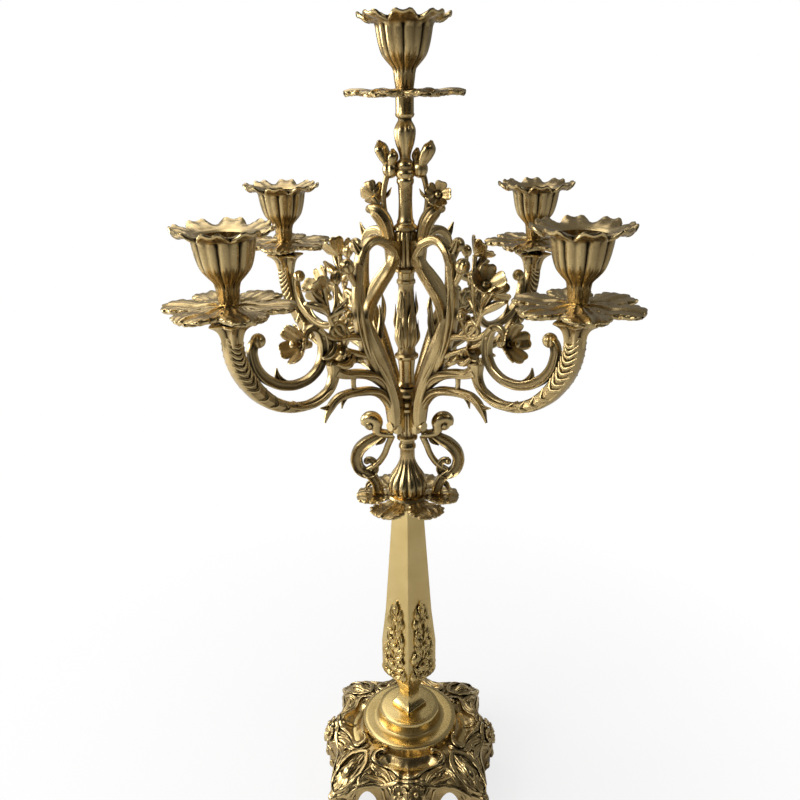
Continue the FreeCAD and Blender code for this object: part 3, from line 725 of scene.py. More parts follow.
@dataclass
class LeafPlate:
    """A drip pan or dish: six veined leaves with toothed edges round a hub."""

    radius: float = 31.5
    hub: float = 8.0
    thickness: float = 2.5
    droop: float = 2.3
    leaves: int = 6
    rows: int = 22
    columns: int = 12
    wave: tuple[tuple[float, float], ...] = ((-1, 0.0), (-0.6, 0.3), (-0.2, -0.4), (0.3, 0.6), (0.7, 0.5),
                                             (1, -0.6))

    def breadth(self, row: int) -> float:
        """Half the leaf's width at a row, notched between its scallops."""
        x = -1 + 2 * row / self.rows
        rows = ((-1, 0.13), (-0.75, 0.19), (-0.4, 0.28), (-0.1, 0.35), (0.2, 0.375), (0.5, 0.365),
                (0.75, 0.31), (0.9, 0.24), (1, 0.15))
        return self.radius * table(rows, x) * (1.0, 0.96, 0.8, 0.94)[row % 4]

    def leaf(self) -> Piece:
        """Makes one leaf along +X."""
        piece = Bench.start("grid", x_subdivisions=self.rows, y_subdivisions=self.columns, size=2)
        half = self.columns // 2
        place = [(round((vertex.co.x + 1) / 2 * self.rows), abs(round(vertex.co.y * half)))
                 for vertex in bmesh.from_edit_mesh(piece.data).verts]

        def choose(test: Callable[[int, int], bool]) -> None:
            """Selects by row, and by column from the middle."""
            Bench.mark(piece, [test(row, column) for row, column in place])

        for row in range(self.rows + 1):
            x = -1 + 2 * row / self.rows
            choose(lambda at, column: at == row)
            Bench.resize(1, self.breadth(row), 1, (x, 0, 0))
            Bench.move(z=table(self.wave, x))
        ribs = (1.0, 0.1, -0.6, 0.25, -0.6, 0.15)
        for column, rise in enumerate(ribs):
            choose(lambda row, at: at == column)
            Bench.move(z=rise)
        for test, x, z in (
                (lambda row, column: column == half and row % 4 != 2, 0, -0.3 * self.droop),
                (lambda row, column: column == half and row % 4 == 2, 0, -self.droop),
                (lambda row, column: row == self.rows and column == half, -0.2, -0.2),
                (lambda row, column: row == self.rows and column == half - 1, -0.1, -0.2),
                (lambda row, column: row == self.rows and column in (2, 4), -0.06, -0.5)):
            choose(test)
            Bench.move(x=x, z=z)
        bpy.ops.mesh.select_all(action="SELECT")
        inner = self.hub - 3.5
        Bench.move(x=1)
        Bench.resize((self.radius - inner) / 2, 1, 1)
        Bench.move(x=inner)
        Bench.clear()
        Bench.modify(piece, "SOLIDIFY", thickness=self.thickness, offset=-1)
        Bench.round_off(piece)
        return piece

    def build(self, first: float) -> Piece:
        """Makes the whole plate, with its underside near z 0.

        Args:
            first: The azimuth of its first leaf, in degrees.

        Returns:
            The plate.
        """
        leaf = self.leaf()
        Bench.place(leaf, translation(0, 0, self.thickness))
        leaves = Bench.ring(leaf, self.leaves, first)
        hub = turned_piece([(STUD_HOLE, 0.05), (self.hub - 0.6, 0.05), (self.hub, 0.5), (self.hub, 1.7),
                            (self.hub - 0.8, 2.3), (STUD_HOLE, 2.35), (STUD_HOLE, 0.05)], 48)
        return Bench.join([leaves, hub])


@dataclass
class TulipCup:
    """A candle cup: a neck, a pleated bowl and a lip of eight curling petals, on a threaded stud."""

    bore: float = 11.25
    stud: float = 3.0
    petals: int = 8
    steps: int = 96

    def build(self) -> Piece:
        """Makes the cup with its foot at z 0."""
        thread = [(0, -10.2), (self.stud - 0.5, -10.2)]
        for turn in range(9):
            thread += [(self.stud, -9.9 + turn), (self.stud - 0.35, -9.4 + turn)]
        outer = smooth([(4.6, 0), (5.0, 3), (5.5, 7), (6.0, 9.6), (8.6, 12.6), (11.1, 16), (12.7, 21),
                        (13.7, 26.4), (14.3, 29.4), (16.8, 30.9), (20, 31.3), (23.0, 31.7)], 3)
        inner = smooth([(23.3, 33.6), (20, 33.3), (16, 32.7), (12.4, 31.4)], 3)
        inside = [(self.bore, 30.6), (self.bore, 20.4), (10.5, 19.9), (6.2, 16.2), (0, 15.2)]
        piece = turned_piece([*thread, (self.stud, -0.6), (self.stud, 0), *outer, (23.6, 32.3),
                              (23.7, 33.0), *inner, *inside], self.steps)
        pleats = (0.925, 0.985, 1.03, 1.04, 1.035, 1.02, 0.985, 0.995, 1.01, 1.015, 1.0, 0.97)
        flute(piece, 7.5, 29.6, pleats, self.petals, self.steps, 5.2)
        soft = tuple(blend(1, share, 0.5) for share in pleats)
        flute(piece, 2.0, 6.5, soft, self.petals, self.steps, 4.0)
        self.curl_petals(piece)
        return piece

    def curl_petals(self, piece: Piece) -> None:
        """Shapes the lip: each petal's tip stands out and curls up, and the notches draw in."""
        Bench.edit(piece)
        column = 360 / self.steps
        sector = self.steps // self.petals

        def offset(spot: Vector) -> int:
            """How many columns a vertex is from its petal's middle."""
            index = round((math.degrees(math.atan2(spot.y, spot.x)) % 360) / column) % sector
            return min(index, sector - index)

        lip = ((0, 0.99, 0.9), (1, 0.995, 1.2), (2, 1.0, 1.9), (3, 0.99, 1.6), (4, 0.955, 0.3),
               (5, 0.89, -0.9), (6, 0.82, -1.3))
        for away, factor, rise in lip:
            for low, high, share in ((15.0, 18.3, 0.25), (18.3, 21.6, 0.55), (21.6, 30.0, 1.0)):
                Bench.pick(piece, lambda spot: spot.z > 30 and low <= spot.xy.length < high
                           and offset(spot) == away)
                Bench.resize(blend(1, factor, share), blend(1, factor, share), 1)
                Bench.move(z=rise * share)
        Bench.clear()


@dataclass
class Casting:
    """A flat casting in the XZ plane, with +X outwards and levels measured from 8 mm above the floor."""

    lift: float = 8.0

    def at(self, *points: Place) -> list[tuple[float, float]]:
        """Points (r, level) of the drawing, at their real height."""
        return [(r, z + self.lift) for r, z in points]

    def at_3d(self, *points: Place) -> list[tuple[float, float, float]]:
        """Points (r, level, side) of the drawing, in space."""
        return [(r, y, z + self.lift) for r, z, y in points]

    def bud(self, r: float, level: float, radius: float, stretch: float, folds: int,
            tilt: float = 0) -> Bud:
        """A bud in the casting's plane."""
        return Bud(self.at((r, level))[0], radius, stretch, folds, tilt)


@dataclass
class Arm(Casting):
    """The four arms, each with its flowers and the leafy cap on its end."""

    reach: float = ARM_REACH
    close_from: int = 9
    lug: tuple[float, float, float] = (6.4, 6.4, 13.0)

    def strands(self) -> list[Strand]:
        """The scrolled bars of the casting."""
        at = self.at
        return [
            Strand(at((8.6, 248.4), (9.5, 253), (10, 262), (12, 272), (16, 283), (21, 294), (27, 307),
                      (31, 320)),
                   (1.4, 3.6, 4.6, 4.8, 4.7, 4.9, 4.6, 2.6), Section.VEINED, 1.25),
            Strand(at((29.5, 317), (26, 327), (18.5, 336), (12, 343), (8.8, 350), (8, 358)),
                   (2.5, 2.7, 2.7, 2.6, 2.6, 2.4), Section.STRAP, 1.5),
            Strand(at((8, 349), (11, 354.5), (17, 358.6), (24, 360), (30, 356.5), (33.5, 349)),
                   (2.6, 2.6, 2.5, 2.5, 2.6, 2.4), Section.VEINED, 1.6),
            Strand(at((18, 282), (26, 294), (31, 306), (34.5, 320), (35.2, 334), (33.5, 350)),
                   (2.0, 3.0, 3.0, 2.8, 2.7, 2.4), Section.VEINED, 1.3),
            Strand(at((30, 352), (34, 357), (37.4, 362.5)), (1.6, 2.2, 0.6), Section.LEAF, 1.6),
            Strand(at((34, 336), (38, 341.5), (41, 347)), (2.0, 1.7, 2.2), Section.ROUND),
            Strand(at((22, 303), (19.5, 311), (18.6, 318), (20, 325)),
                   (1.8, 1.9, 1.6, 0.4), Section.LEAF, 1.8),
            Strand(at((14, 274), (20, 281.5), (28, 287), (36, 290), (45, 292), (52.5, 296)),
                   (2.2, 3.0, 2.8, 2.6, 2.7, 3.6), Section.VEINED, 1.35),
            Strand(at((12.5, 264), (18, 272), (25, 276.8), (34, 279.2), (44, 280.4), (51.5, 279.5),
                      (57, 275), (60.5, 268.5)),
                   (2.6, 2.8, 2.6, 2.4, 2.3, 2.2, 1.9, 0.6), Section.VEINED, 1.3),
            Strand(at((44, 280), (47, 277.5), (48.5, 273.2)), (1.6, 1.5, 0.4), Section.LEAF, 1.7),
            Strand(at((54, 278), (58, 276.6), (63, 277.5)), (1.4, 1.5, 0.4), Section.LEAF, 1.7),
            Strand(at((38.4, 278), (39.8, 285), (39, 292)), (1.8, 1.4, 2.0), Section.ROUND),
            Strand(at((52, 299.5), (53, 293), (56.5, 286.4), (64, 282.4), (75, 281.9), (86, 285.2),
                      (96, 291.8), (104, 301), (109.4, 311), (111.8, 320), (112, 328)),
                   (4.2, 3.0, 2.6, 2.4, 2.5, 3.1, 3.9, 4.5, 4.7, 4.6, 4.6), Section.VEINED, 1.2),
            Strand(at((68.5, 313), (70.2, 317.8), (67.4, 321.6), (63, 320.6), (60.1, 315.8), (59.2, 309.2),
                      (61, 302.5), (66.5, 297), (75, 294.6), (84, 295.8), (92, 299.8), (98, 305.5),
                      (101.3, 313), (101.2, 320), (97, 323.6)),
                   (1.1, 1.5, 1.8, 2.1, 2.4, 2.5, 2.4, 2.3, 2.3, 2.5, 2.6, 2.5, 2.3, 2.3, 2.1),
                   Section.CHANNEL, 1.3),
            Strand(at((81, 295.5), (86, 298.5), (88.2, 301.5), (88.6, 306)),
                   (1.6, 1.9, 1.7, 0.5), Section.LEAF, 1.7),
            Strand(at((33.5, 310), (42, 312), (50, 312.5), (57, 316), (62, 321)),
                   (2.2, 1.9, 1.8, 1.8, 1.8), Section.ROUND),
            Strand(at((31, 299), (39, 302.5), (47, 306.5), (55, 311), (59.5, 316)),
                   (2.2, 1.9, 1.7, 1.6, 1.4), Section.ROUND),
            Strand(curl((50, 325), (5.2, 0.8), 250, -560, 10),
                   (1.7, 1.7, 1.7, 1.6, 1.5, 1.4, 1.3, 1.2, 1.1, 1.4), Section.ROUND),
            Strand(at((40, 311.5), (43.5, 316.5), (41.8, 321)), (1.4, 1.3, 1.5), Section.ROUND),
            Strand(at((44, 312), (50, 317), (54.4, 326), (56, 334), (56.6, 341)),
                   (1.7, 1.6, 1.4, 1.4, 1.6), Section.ROUND),
            Strand(at((52, 324), (49.6, 333), (49, 342)), (1.2, 1.1, 1.3), Section.ROUND),
        ]

    def leaves(self) -> list[Strand]:
        """Small leaves on the twigs, standing out to both sides of the casting's plane."""
        rows = (
            (((40, 303, 0), (44, 299.5, 2.5), (50, 299, 4.5), (55, 301.5, 5)), (1.0, 2.8, 2.6, 1.1)),
            (((40, 303, 0), (44, 300, -2.5), (49, 300.5, -4.5), (53, 304, -5)), (1.0, 2.8, 2.6, 1.1)),
            (((42, 305, 0), (40, 300, -1), (37, 297, -2.5), (33.5, 296, -3)), (1.0, 2.4, 2.3, 1.0)),
            (((55, 326, 0), (59, 330, 1.5), (64, 333, 2), (70, 335.5, 1)), (1.1, 3.0, 3.0, 1.3)),
            (((56, 330, 0), (59, 335, -1.5), (62, 339, -2), (65, 342.5, -1)), (1.1, 2.8, 2.7, 1.2)),
            (((54.5, 325, 0), (50.5, 328, 2), (47, 330.5, 3), (44, 333.5, 2)), (1.0, 2.6, 2.5, 1.2)),
            (((52, 313, 0), (54, 309, 2), (58, 306, 3), (62, 305.5, 3)), (1.0, 2.3, 2.2, 1.0)),
        )
        return [Strand(self.at_3d(*points), widths, Section.LOBE, 1.2) for points, widths in rows]

    def overlays(self) -> list[Strand]:
        """Long leaves lying on both faces of the trunk and the bars."""
        lines = (
            ((9.5, 254), (11, 266), (14, 277), (17, 288), (22, 297)),
            ((12, 268), (16.5, 280), (22.5, 291), (27.5, 302)),
            ((20, 290), (25, 300), (28, 310), (30.5, 320)),
            ((16, 276), (24, 285.5), (33, 289), (43, 291.6)),
            ((15, 267), (22, 275), (31, 278.8), (42, 280.4)),
            ((29, 298), (33, 310), (35, 324), (34.8, 338)),
            ((56, 287), (65, 282.3), (75, 282), (86, 285.4)))
        leaves = []
        for line in lines:
            for side in (-2.6, 2.6):
                points = [(r, z, side) for r, z in line]
                leaves.append(Strand(self.at_3d(*points), (0.7, *[1.7] * (len(line) - 2), 0.4),
                                     Section.ROUND, 0.8))
        return leaves

    def feathers(self) -> list[Piece]:
        """Overlapping barbs in a herringbone up both faces of the outer arm, closer together at its top."""
        spine = smooth(self.at((75, 281.9), (86, 285.2), (96, 291.8), (104, 301), (109.4, 311),
                               (111.8, 320), (112, 327)), 3)
        widths = smooth([(2.5,), (3.1,), (3.9,), (4.5,), (4.7,), (4.6,), (4.5,)], 3)
        barbs = []
        for index in range(1, len(spine) - 1):
            if index % 2 == 0 and index <= self.close_from:
                continue
            here = Vector(spine[index]).lerp(Vector(spine[index + 1]), 0.25)
            ahead = (Vector(spine[index + 1]) - Vector(spine[index])).normalized()
            across = Vector((ahead.y, -ahead.x))
            half = widths[index][0]
            for side in (-1, 1):
                line = []
                for share, back, high in ((-0.9, 1.0, 0.62), (-0.5, -1.2, 0.8), (0, -2.8, 0.96),
                                          (0.5, -1.2, 0.8), (0.9, 1.0, 0.62)):
                    spot = here + across * half * share + ahead * back
                    line.append((spot.x, side * (half * high - 0.1), spot.y))
                barbs.append(Strand(line, (0.5, 1.0, 1.25, 1.0, 0.5), fineness=2).build())
        return barbs

    def casting(self) -> Piece:
        """Makes the casting: bars, buds, leaves and feathers."""
        pieces = [strand.build() for strand in self.strands() + self.leaves() + self.overlays()]
        pieces += self.feathers()
        buds = [
            self.bud(41.5, 349, 4.0, 1.1, 5, 20), self.bud(98, 322.2, 3.7, 1.0, 6),
            self.bud(41.2, 322.6, 2.7, 1.1, 5), self.bud(49, 344.5, 3.1, 1.25, 5, -15),
            self.bud(44.5, 303, 3.0, 0.9, 6), self.bud(35, 298, 2.4, 1.0, 5),
            self.bud(56, 301.5, 2.2, 1.0, 5),
        ]
        pieces += [bud.build() for bud in buds]
        lug = Bench.start("cube", size=1)
        Bench.resize(*self.lug)
        Bench.move(x=7.4, z=261)
        bpy.ops.mesh.bevel(offset=1.0, segments=2)
        Bench.clear()
        trumpet = turned_piece([(2.0, -3), (3.4, -1), (4.9, 1.6), (5.3, 2.4), (4.6, 2.2), (2.4, 0.6),
                                (0, 0.2)], 24)
        Bench.place(trumpet, translation(51.5, 0, 305.5) @ Matrix.Scale(0.8, 4, (0, 1, 0))
                    @ rotation(-12, "Y"))
        return Bench.join([*pieces, lug, trumpet])

    def flowers(self) -> Piece:
        """The bell-like flower on the scroll's head and the open flower on the sprig."""
        bell = Blossom(9.8, 5, 40, 0.2).build()
        stalk = turned_piece([(0, -5), (1.8, -4.5), (2.6, -1), (1.2, 1), (1.0, 6), (1.9, 7.6),
                              (0, 8.6)], 20)
        bell = Bench.place(Bench.join([bell, stalk]), translation(71.5, 0, 322.5)
                           @ rotation(76, "Y") @ rotation(18, "Z"))
        sprig = Blossom(8.8, 5, 42, 0.3).build()
        Bench.place(sprig, translation(57, 0, 349) @ rotation(40, "Y") @ rotation(20, "X"))
        small = Blossom(5.0, 5, 30, 0.36).build()
        Bench.place(small, translation(47, 1.5, 313) @ rotation(65, "Y"))
        return Bench.join([bell, sprig, small])

    def cap(self) -> Piece:
        """The leafy cap with the socket, its foot at z 0."""
        profile = [(0, -6),
                   *smooth([(4.6, -6), (5.2, -3), (5.8, 0), (6.9, 2.6), (8.8, 4.4), (10.6, 5.4)], 3),
                   (10.9, 6.0), *smooth([(10.4, 6.6), (7.6, 5.8), (5.3, 6.6)], 3), (5.0, 8.0),
                   (5.8, 8.8), (5.8, 9.8), (5.1, 10.6), (5.1, 11.95), (STUD_HOLE, 11.95),
                   (STUD_HOLE, 4.4), (0, 4.4)]
        piece = turned_piece(profile, 60)
        flute(piece, -5.5, 7.2, (1.08, 1.01, 0.93, 0.86, 0.8, 0.74, 0.8, 0.86, 0.93, 1.01), 6, 60, 3.2)
        return piece

    def build(self, shop: Workshop) -> None:
        """Makes the four arms with their flowers and caps."""
        casting, flowers, cap = self.casting(), self.flowers(), self.cap()
        for number, azimuth in enumerate(DIAGONALS, 1):
            turn = about_z(azimuth)
            seat = foot_of(f"arm_socket_{number}")
            shop.send(Bench.copy(casting), f"arm_casting_{number}", f"arm_{number}", matrix=turn)
            shop.send(Bench.copy(flowers), f"arm_blossoms_{number}", f"arm_flowers_{number}", matrix=turn)
            shop.send(Bench.copy(cap), f"arm_cap_{number}", f"arm_socket_{number}",
                      matrix=about_z(azimuth, self.reach, seat))
        for piece in (casting, flowers, cap):
            bpy.data.objects.remove(piece)


@dataclass
class CandleSets:
    """The five pans and cups."""

    reach: float = ARM_REACH
    pan_turn: float = 15.0

    def build(self, shop: Workshop) -> None:
        """Makes a pan and a cup and copies them to the five places."""
        pan = LeafPlate().build(0)
        cup = TulipCup().build()
        places = {str(number): (azimuth, self.reach, self.pan_turn)
                  for number, azimuth in enumerate(DIAGONALS, 1)}
        places["centre"] = (0, 0, 0)
        for name, (azimuth, reach, turn) in places.items():
            pan_z = foot_of(f"pan_{name}")
            cup_z = top_of(f"cup_washer_{name}")
            shop.send(Bench.copy(pan), f"leaf_pan_{name}", f"pan_{name}",
                      matrix=about_z(azimuth, reach, pan_z) @ rotation(turn, "Z"))
            shop.send(Bench.copy(cup), f"tulip_cup_{name}", f"cup_{name}",
                      matrix=about_z(azimuth, reach, cup_z))
            shop.dress(f"cup_washer_{name}", Finish.AGED)
        bpy.data.objects.remove(pan)
        bpy.data.objects.remove(cup)


@dataclass
class Stem:
    """The turned pieces on the rod, from the bell collar to the bulb under the centre pan."""

    steps: int = 72

    def bell(self, shop: Workshop) -> None:
        """The gadrooned bell collar."""
        z = foot_of("bell_collar")
        outer = smooth([(9.8, z + 0.1), (11.4, z + 3), (11.6, z + 7), (9.8, z + 12), (6.7, z + 17),
                        (4.8, z + 21.5), (4.4, z + 26)], 4)
        profile = [(ROD_HOLE, z + 0.1), *outer, (4.4, z + 29), (5.1, z + 30), (5.1, z + 31.5),
                   (4.4, z + 32.5), (4.3, z + 35), (ROD_HOLE, z + 35), (ROD_HOLE, z + 0.1)]
        piece = turned_piece(profile, self.steps)
        flute(piece, z + 0.6, z + 23, (0.89, 0.96, 1.0, 1.02, 1.0, 0.96), 12, self.steps, 3.0)
        shop.send(piece, "gadrooned_bell", "bell_collar")

    def hub(self, shop: Workshop, node: str, radius: float) -> None:
        """A ringed and reeded hub that the castings meet."""
        z, top = foot_of(node), top_of(node)
        profile = [(ROD_HOLE, z), (radius, z), (radius + 1.1, z + 0.9), (radius + 1.1, z + 2.2),
                   (radius - 0.2, z + 3.3),
                   *smooth([(radius, z + 4.6), (radius + 0.5, z + 9), (radius + 0.2, top - 6),
                            (radius - 0.2, top - 3.8)], 3),
                   (radius + 0.9, top - 2.8), (radius + 0.9, top - 1.4), (radius - 0.4, top - 0.3),
                   (radius - 0.6, top), (ROD_HOLE, top), (ROD_HOLE, z)]
        piece = turned_piece(profile, self.steps)
        flute(piece, z + 4, top - 4, (0.9, 0.97, 1.0, 1.03, 1.0, 0.97), 12, self.steps, 3.0)
        shop.send(piece, f"reeded_{node}", node)

    def knop(self, shop: Workshop) -> None:
        """The ringed knop above the lower hub."""
        z = foot_of("stem_knop")
        profile = [(ROD_HOLE, z), (4.6, z), (4.6, z + 2), (5.4, z + 3), (4.6, z + 4),
                   *smooth([(4.6, z + 4.4), (7.2, z + 6.2), (7.9, z + 8), (7.2, z + 9.8),
                            (4.8, z + 11.6)], 3),
                   (5.4, z + 12.4), (5.2, z + 13.4), (4.5, z + 14.2),
                   *smooth([(4.4, z + 15), (4.3, z + 20), (4.9, z + 27.9)], 3),
                   (ROD_HOLE, z + 27.9), (ROD_HOLE, z)]
        shop.send(turned_piece(profile, 48), "ringed_knop", "stem_knop")

    def baluster(self, shop: Workshop) -> None:
        """The leafy baluster between the arms."""
        z = foot_of("baluster")
        rings = [(ROD_HOLE, z), (5.2, z), (6.7, z + 1.2), (6.7, z + 2.6), (5.2, z + 3.8), (4.9, z + 6)]
        swell = smooth([(5.2, z + 8), (6.6, z + 12), (6.4, z + 17), (5.4, z + 26), (4.5, z + 36),
                        (4.2, z + 41)], 4)
        top = [(4.4, z + 43), (5.2, z + 44), (5.2, z + 45.4), (4.4, z + 46.4), (4.6, z + 50),
               (ROD_HOLE, z + 50), (ROD_HOLE, z)]
        piece = turned_piece([*rings, *swell, *top], self.steps)
        folds = (0.86, 0.93, 0.99, 1.03, 1.06, 1.08, 1.06, 1.03, 0.99, 0.93, 0.88, 0.86)
        flute(piece, z + 7, z + 40, folds, 6, self.steps, 3.0)
        leaves = []
        for row, (level, length) in enumerate(((8, 15), (16, 16), (25, 14))):
            for index in range(3):
                azimuth = 60 * row + 120 * index
                line = [tuple(polar(r, azimuth, z + level + rise * length)) for r, rise in (
                    (5.0, 0), (6.9 - 0.5 * row, 0.3), (6.5 - 0.5 * row, 0.65), (6.6 - 0.6 * row, 1.0))]
                leaves.append(Strand(line, (1.2, 2.4, 1.8, 0.3), Section.LEAF, 0.9).build())
        shop.send(Bench.join([piece, *leaves]), "leafy_baluster", "baluster")

    def collar_and_bulb(self, shop: Workshop) -> None:
        """The slim stem above the upper hub and the bulb that carries the centre cup."""
        z = foot_of("upper_stem")
        profile = [(ROD_HOLE, z), (4.6, z), (4.8, z + 1.2), (4.2, z + 2.4),
                   *smooth([(3.9, z + 4), (3.6, z + 12), (3.9, z + 20)], 3), (4.6, z + 21.5),
                   (4.6, z + 23), (4.0, z + 24), (ROD_HOLE, z + 24), (ROD_HOLE, z)]
        shop.send(turned_piece(profile, 40), "slim_stem", "upper_stem")
        z = foot_of("finial_socket")
        top = top_of("finial_socket")
        profile = [(ROD_HOLE, z), (4.6, z), (5.3, z + 1.4), (5.3, z + 3), (4.4, z + 4.2), (4.9, z + 5.6),
                   (4.6, z + 7.4),
                   *smooth([(2.9, z + 9.4), (3.2, z + 12), (4.9, z + 17), (5.7, z + 22), (5.3, z + 25),
                            (3.5, z + 28.2)], 4),
                   (3.5, z + 29.2), (4.6, z + 30), (5.0, z + 31), (4.7, z + 32), (4.7, top - 0.05),
                   (STUD_HOLE, top - 0.05), (STUD_HOLE, top - 7.6), (ROD_HOLE, top - 7.7), (ROD_HOLE, z)]
        piece = turned_piece(profile, self.steps)
        folds = (0.93, 0.98, 1.0, 1.02, 1.02, 1.0, 0.98, 0.95, 0.93)
        flute(piece, z + 11, z + 27, folds, 8, self.steps, 2.9)
        shop.send(piece, "bulb_socket", "finial_socket")

    def build(self, shop: Workshop) -> None:
        """Makes all the turned pieces, and dresses those that keep their CAD shape."""
        self.bell(shop)
        self.knop(shop)
        self.baluster(shop)
        self.collar_and_bulb(shop)
        self.hub(shop, "lower_hub", 5.0)
        self.hub(shop, "upper_hub", 5.6)
        shop.dress("arm_screws", Finish.AGED)
        for node in ("tie_rod", "base_washer", "base_nut"):
            shop.dress(node, Finish.STEEL)


@dataclass
class UpperBranches(Casting):
    """The two leafy straps with flowers above the arms."""

    def branch(self) -> Piece:
        """Makes the branch that points along +X."""
        at = self.at
        strands = [
            Strand(at((8.0, 346), (8.4, 354), (9.6, 362), (12, 368.5), (16, 373), (20, 374.5)),
                   (3.0, 3.4, 3.8, 4.2, 3.8, 1.8), Section.VEINED, 1.5),
            Strand(at((7, 356), (9.6, 366), (11.6, 377), (10.6, 387), (8.4, 394)),
                   (1.6, 1.7, 1.5, 1.5, 1.7), Section.ROUND),
            Strand(at((12.5, 371), (14.5, 376), (17, 380)), (1.5, 1.4, 1.6), Section.ROUND),
            Strand([(7.6, 1.0, 403), (6.4, 2.4, 406.4), (6.0, 2.8, 409.6), (6.4, 2.4, 412.6)],
                   (1.8, 2.8, 2.9, 0.9), Section.ROUND, 0.75),
            Strand([(8.0, -0.5, 402), (9.4, -1.8, 406), (11.4, -2.6, 410), (13.0, -2.4, 413.6),
                    (13.8, -1.8, 416.4)], (2.2, 3.4, 4.3, 3.9, 1.0), Section.ROUND, 0.75),
            Strand([(12.8, 0, 386), (9.5, -2, 389), (7.4, -3, 392.5)], (0.8, 1.9, 0.4), Section.LEAF, 1.2),
        ]
        buds = [self.bud(7.8, 394.2, 4.3, 1.1, 5), self.bud(18.8, 373.8, 2.6, 0.9, 6)]
        return Bench.join([part.build() for part in (*strands, *buds)])

    def build(self, shop: Workshop) -> None:
        """Makes both branches and their flowers."""
        branch = self.branch()
        for side, azimuth in (("right", 0), ("left", 180)):
            flower = Blossom(6.6, 5, 30, 0.3).build()
            Bench.place(flower, translation(17.2, -1.2, 389) @ rotation(72, "X"))
            shop.send(flower, f"upper_blossom_{side}", f"upper_flower_{side}", matrix=about_z(azimuth))
            shop.send(Bench.copy(branch), f"leafy_branch_{side}", f"upper_branch_{side}",
                      matrix=about_z(azimuth))
        bpy.data.objects.remove(branch)


@dataclass
class ScrollBrackets(Casting):
    """The two S-scrolls beside the bell collar."""

    def bracket(self) -> Piece:
        """Makes the bracket that points along +X."""
        at = self.at
        loop = at((15.5, 243), (19.5, 240.5), (25, 237), (29.6, 231), (30.2, 224.5), (27, 218.8),
                  (22, 217.6), (19.2, 221.4), (21.2, 226), (25, 226.4))
        strands = [
            Strand(at((24.6, 249.2), (23.8, 252.8), (20.8, 253.8), (18, 251.4), (18, 247.8), (17.2, 245),
                      (13.6, 243.6), (8.2, 243.4)),
                   (2.6, 3.4, 3.9, 3.8, 3.3, 2.8, 2.6, 2.8), Section.ROUND, 1.1),
            Strand(loop, (2.3, 3.0, 3.5, 3.6, 3.4, 3.1, 2.6, 2.2, 1.9, 1.6), Section.CHANNEL, 1.3),
            Strand(at((9, 242), (11.5, 236), (14, 229.5), (18.5, 223.5), (24, 219.8)),
                   (2.0, 1.9, 1.9, 2.0, 1.8), Section.ROUND),
            Strand(at((25.6, 219), (21, 215), (18.6, 210.5), (17.6, 204.6)),
                   (2.8, 2.8, 3.0, 3.4), Section.CHANNEL, 1.4),
            Strand(at((13, 243.5), (15, 239), (18.6, 236)), (1.4, 1.8, 0.4), Section.LEAF, 1.6),
            Strand(at((20, 213), (23.6, 209.8), (25.2, 205.4)), (1.6, 1.8, 0.5), Section.LEAF, 1.6),
        ]
        buds = [self.bud(21.8, 249.6, 3.6, 1.05, 6, 30), self.bud(24.2, 225.6, 2.1, 1.0, 5),
                self.bud(10.5, 244.5, 2.5, 0.9, 6)]
        return Bench.join([part.build() for part in (*strands, *buds)])

    def build(self, shop: Workshop) -> None:
        """Makes both brackets."""
        bracket = self.bracket()
        for side, azimuth in (("right", 0), ("left", 180)):
            shop.send(Bench.copy(bracket), f"scroll_bracket_cast_{side}", f"scroll_bracket_{side}",
                      matrix=about_z(azimuth))
        bpy.data.objects.remove(bracket)


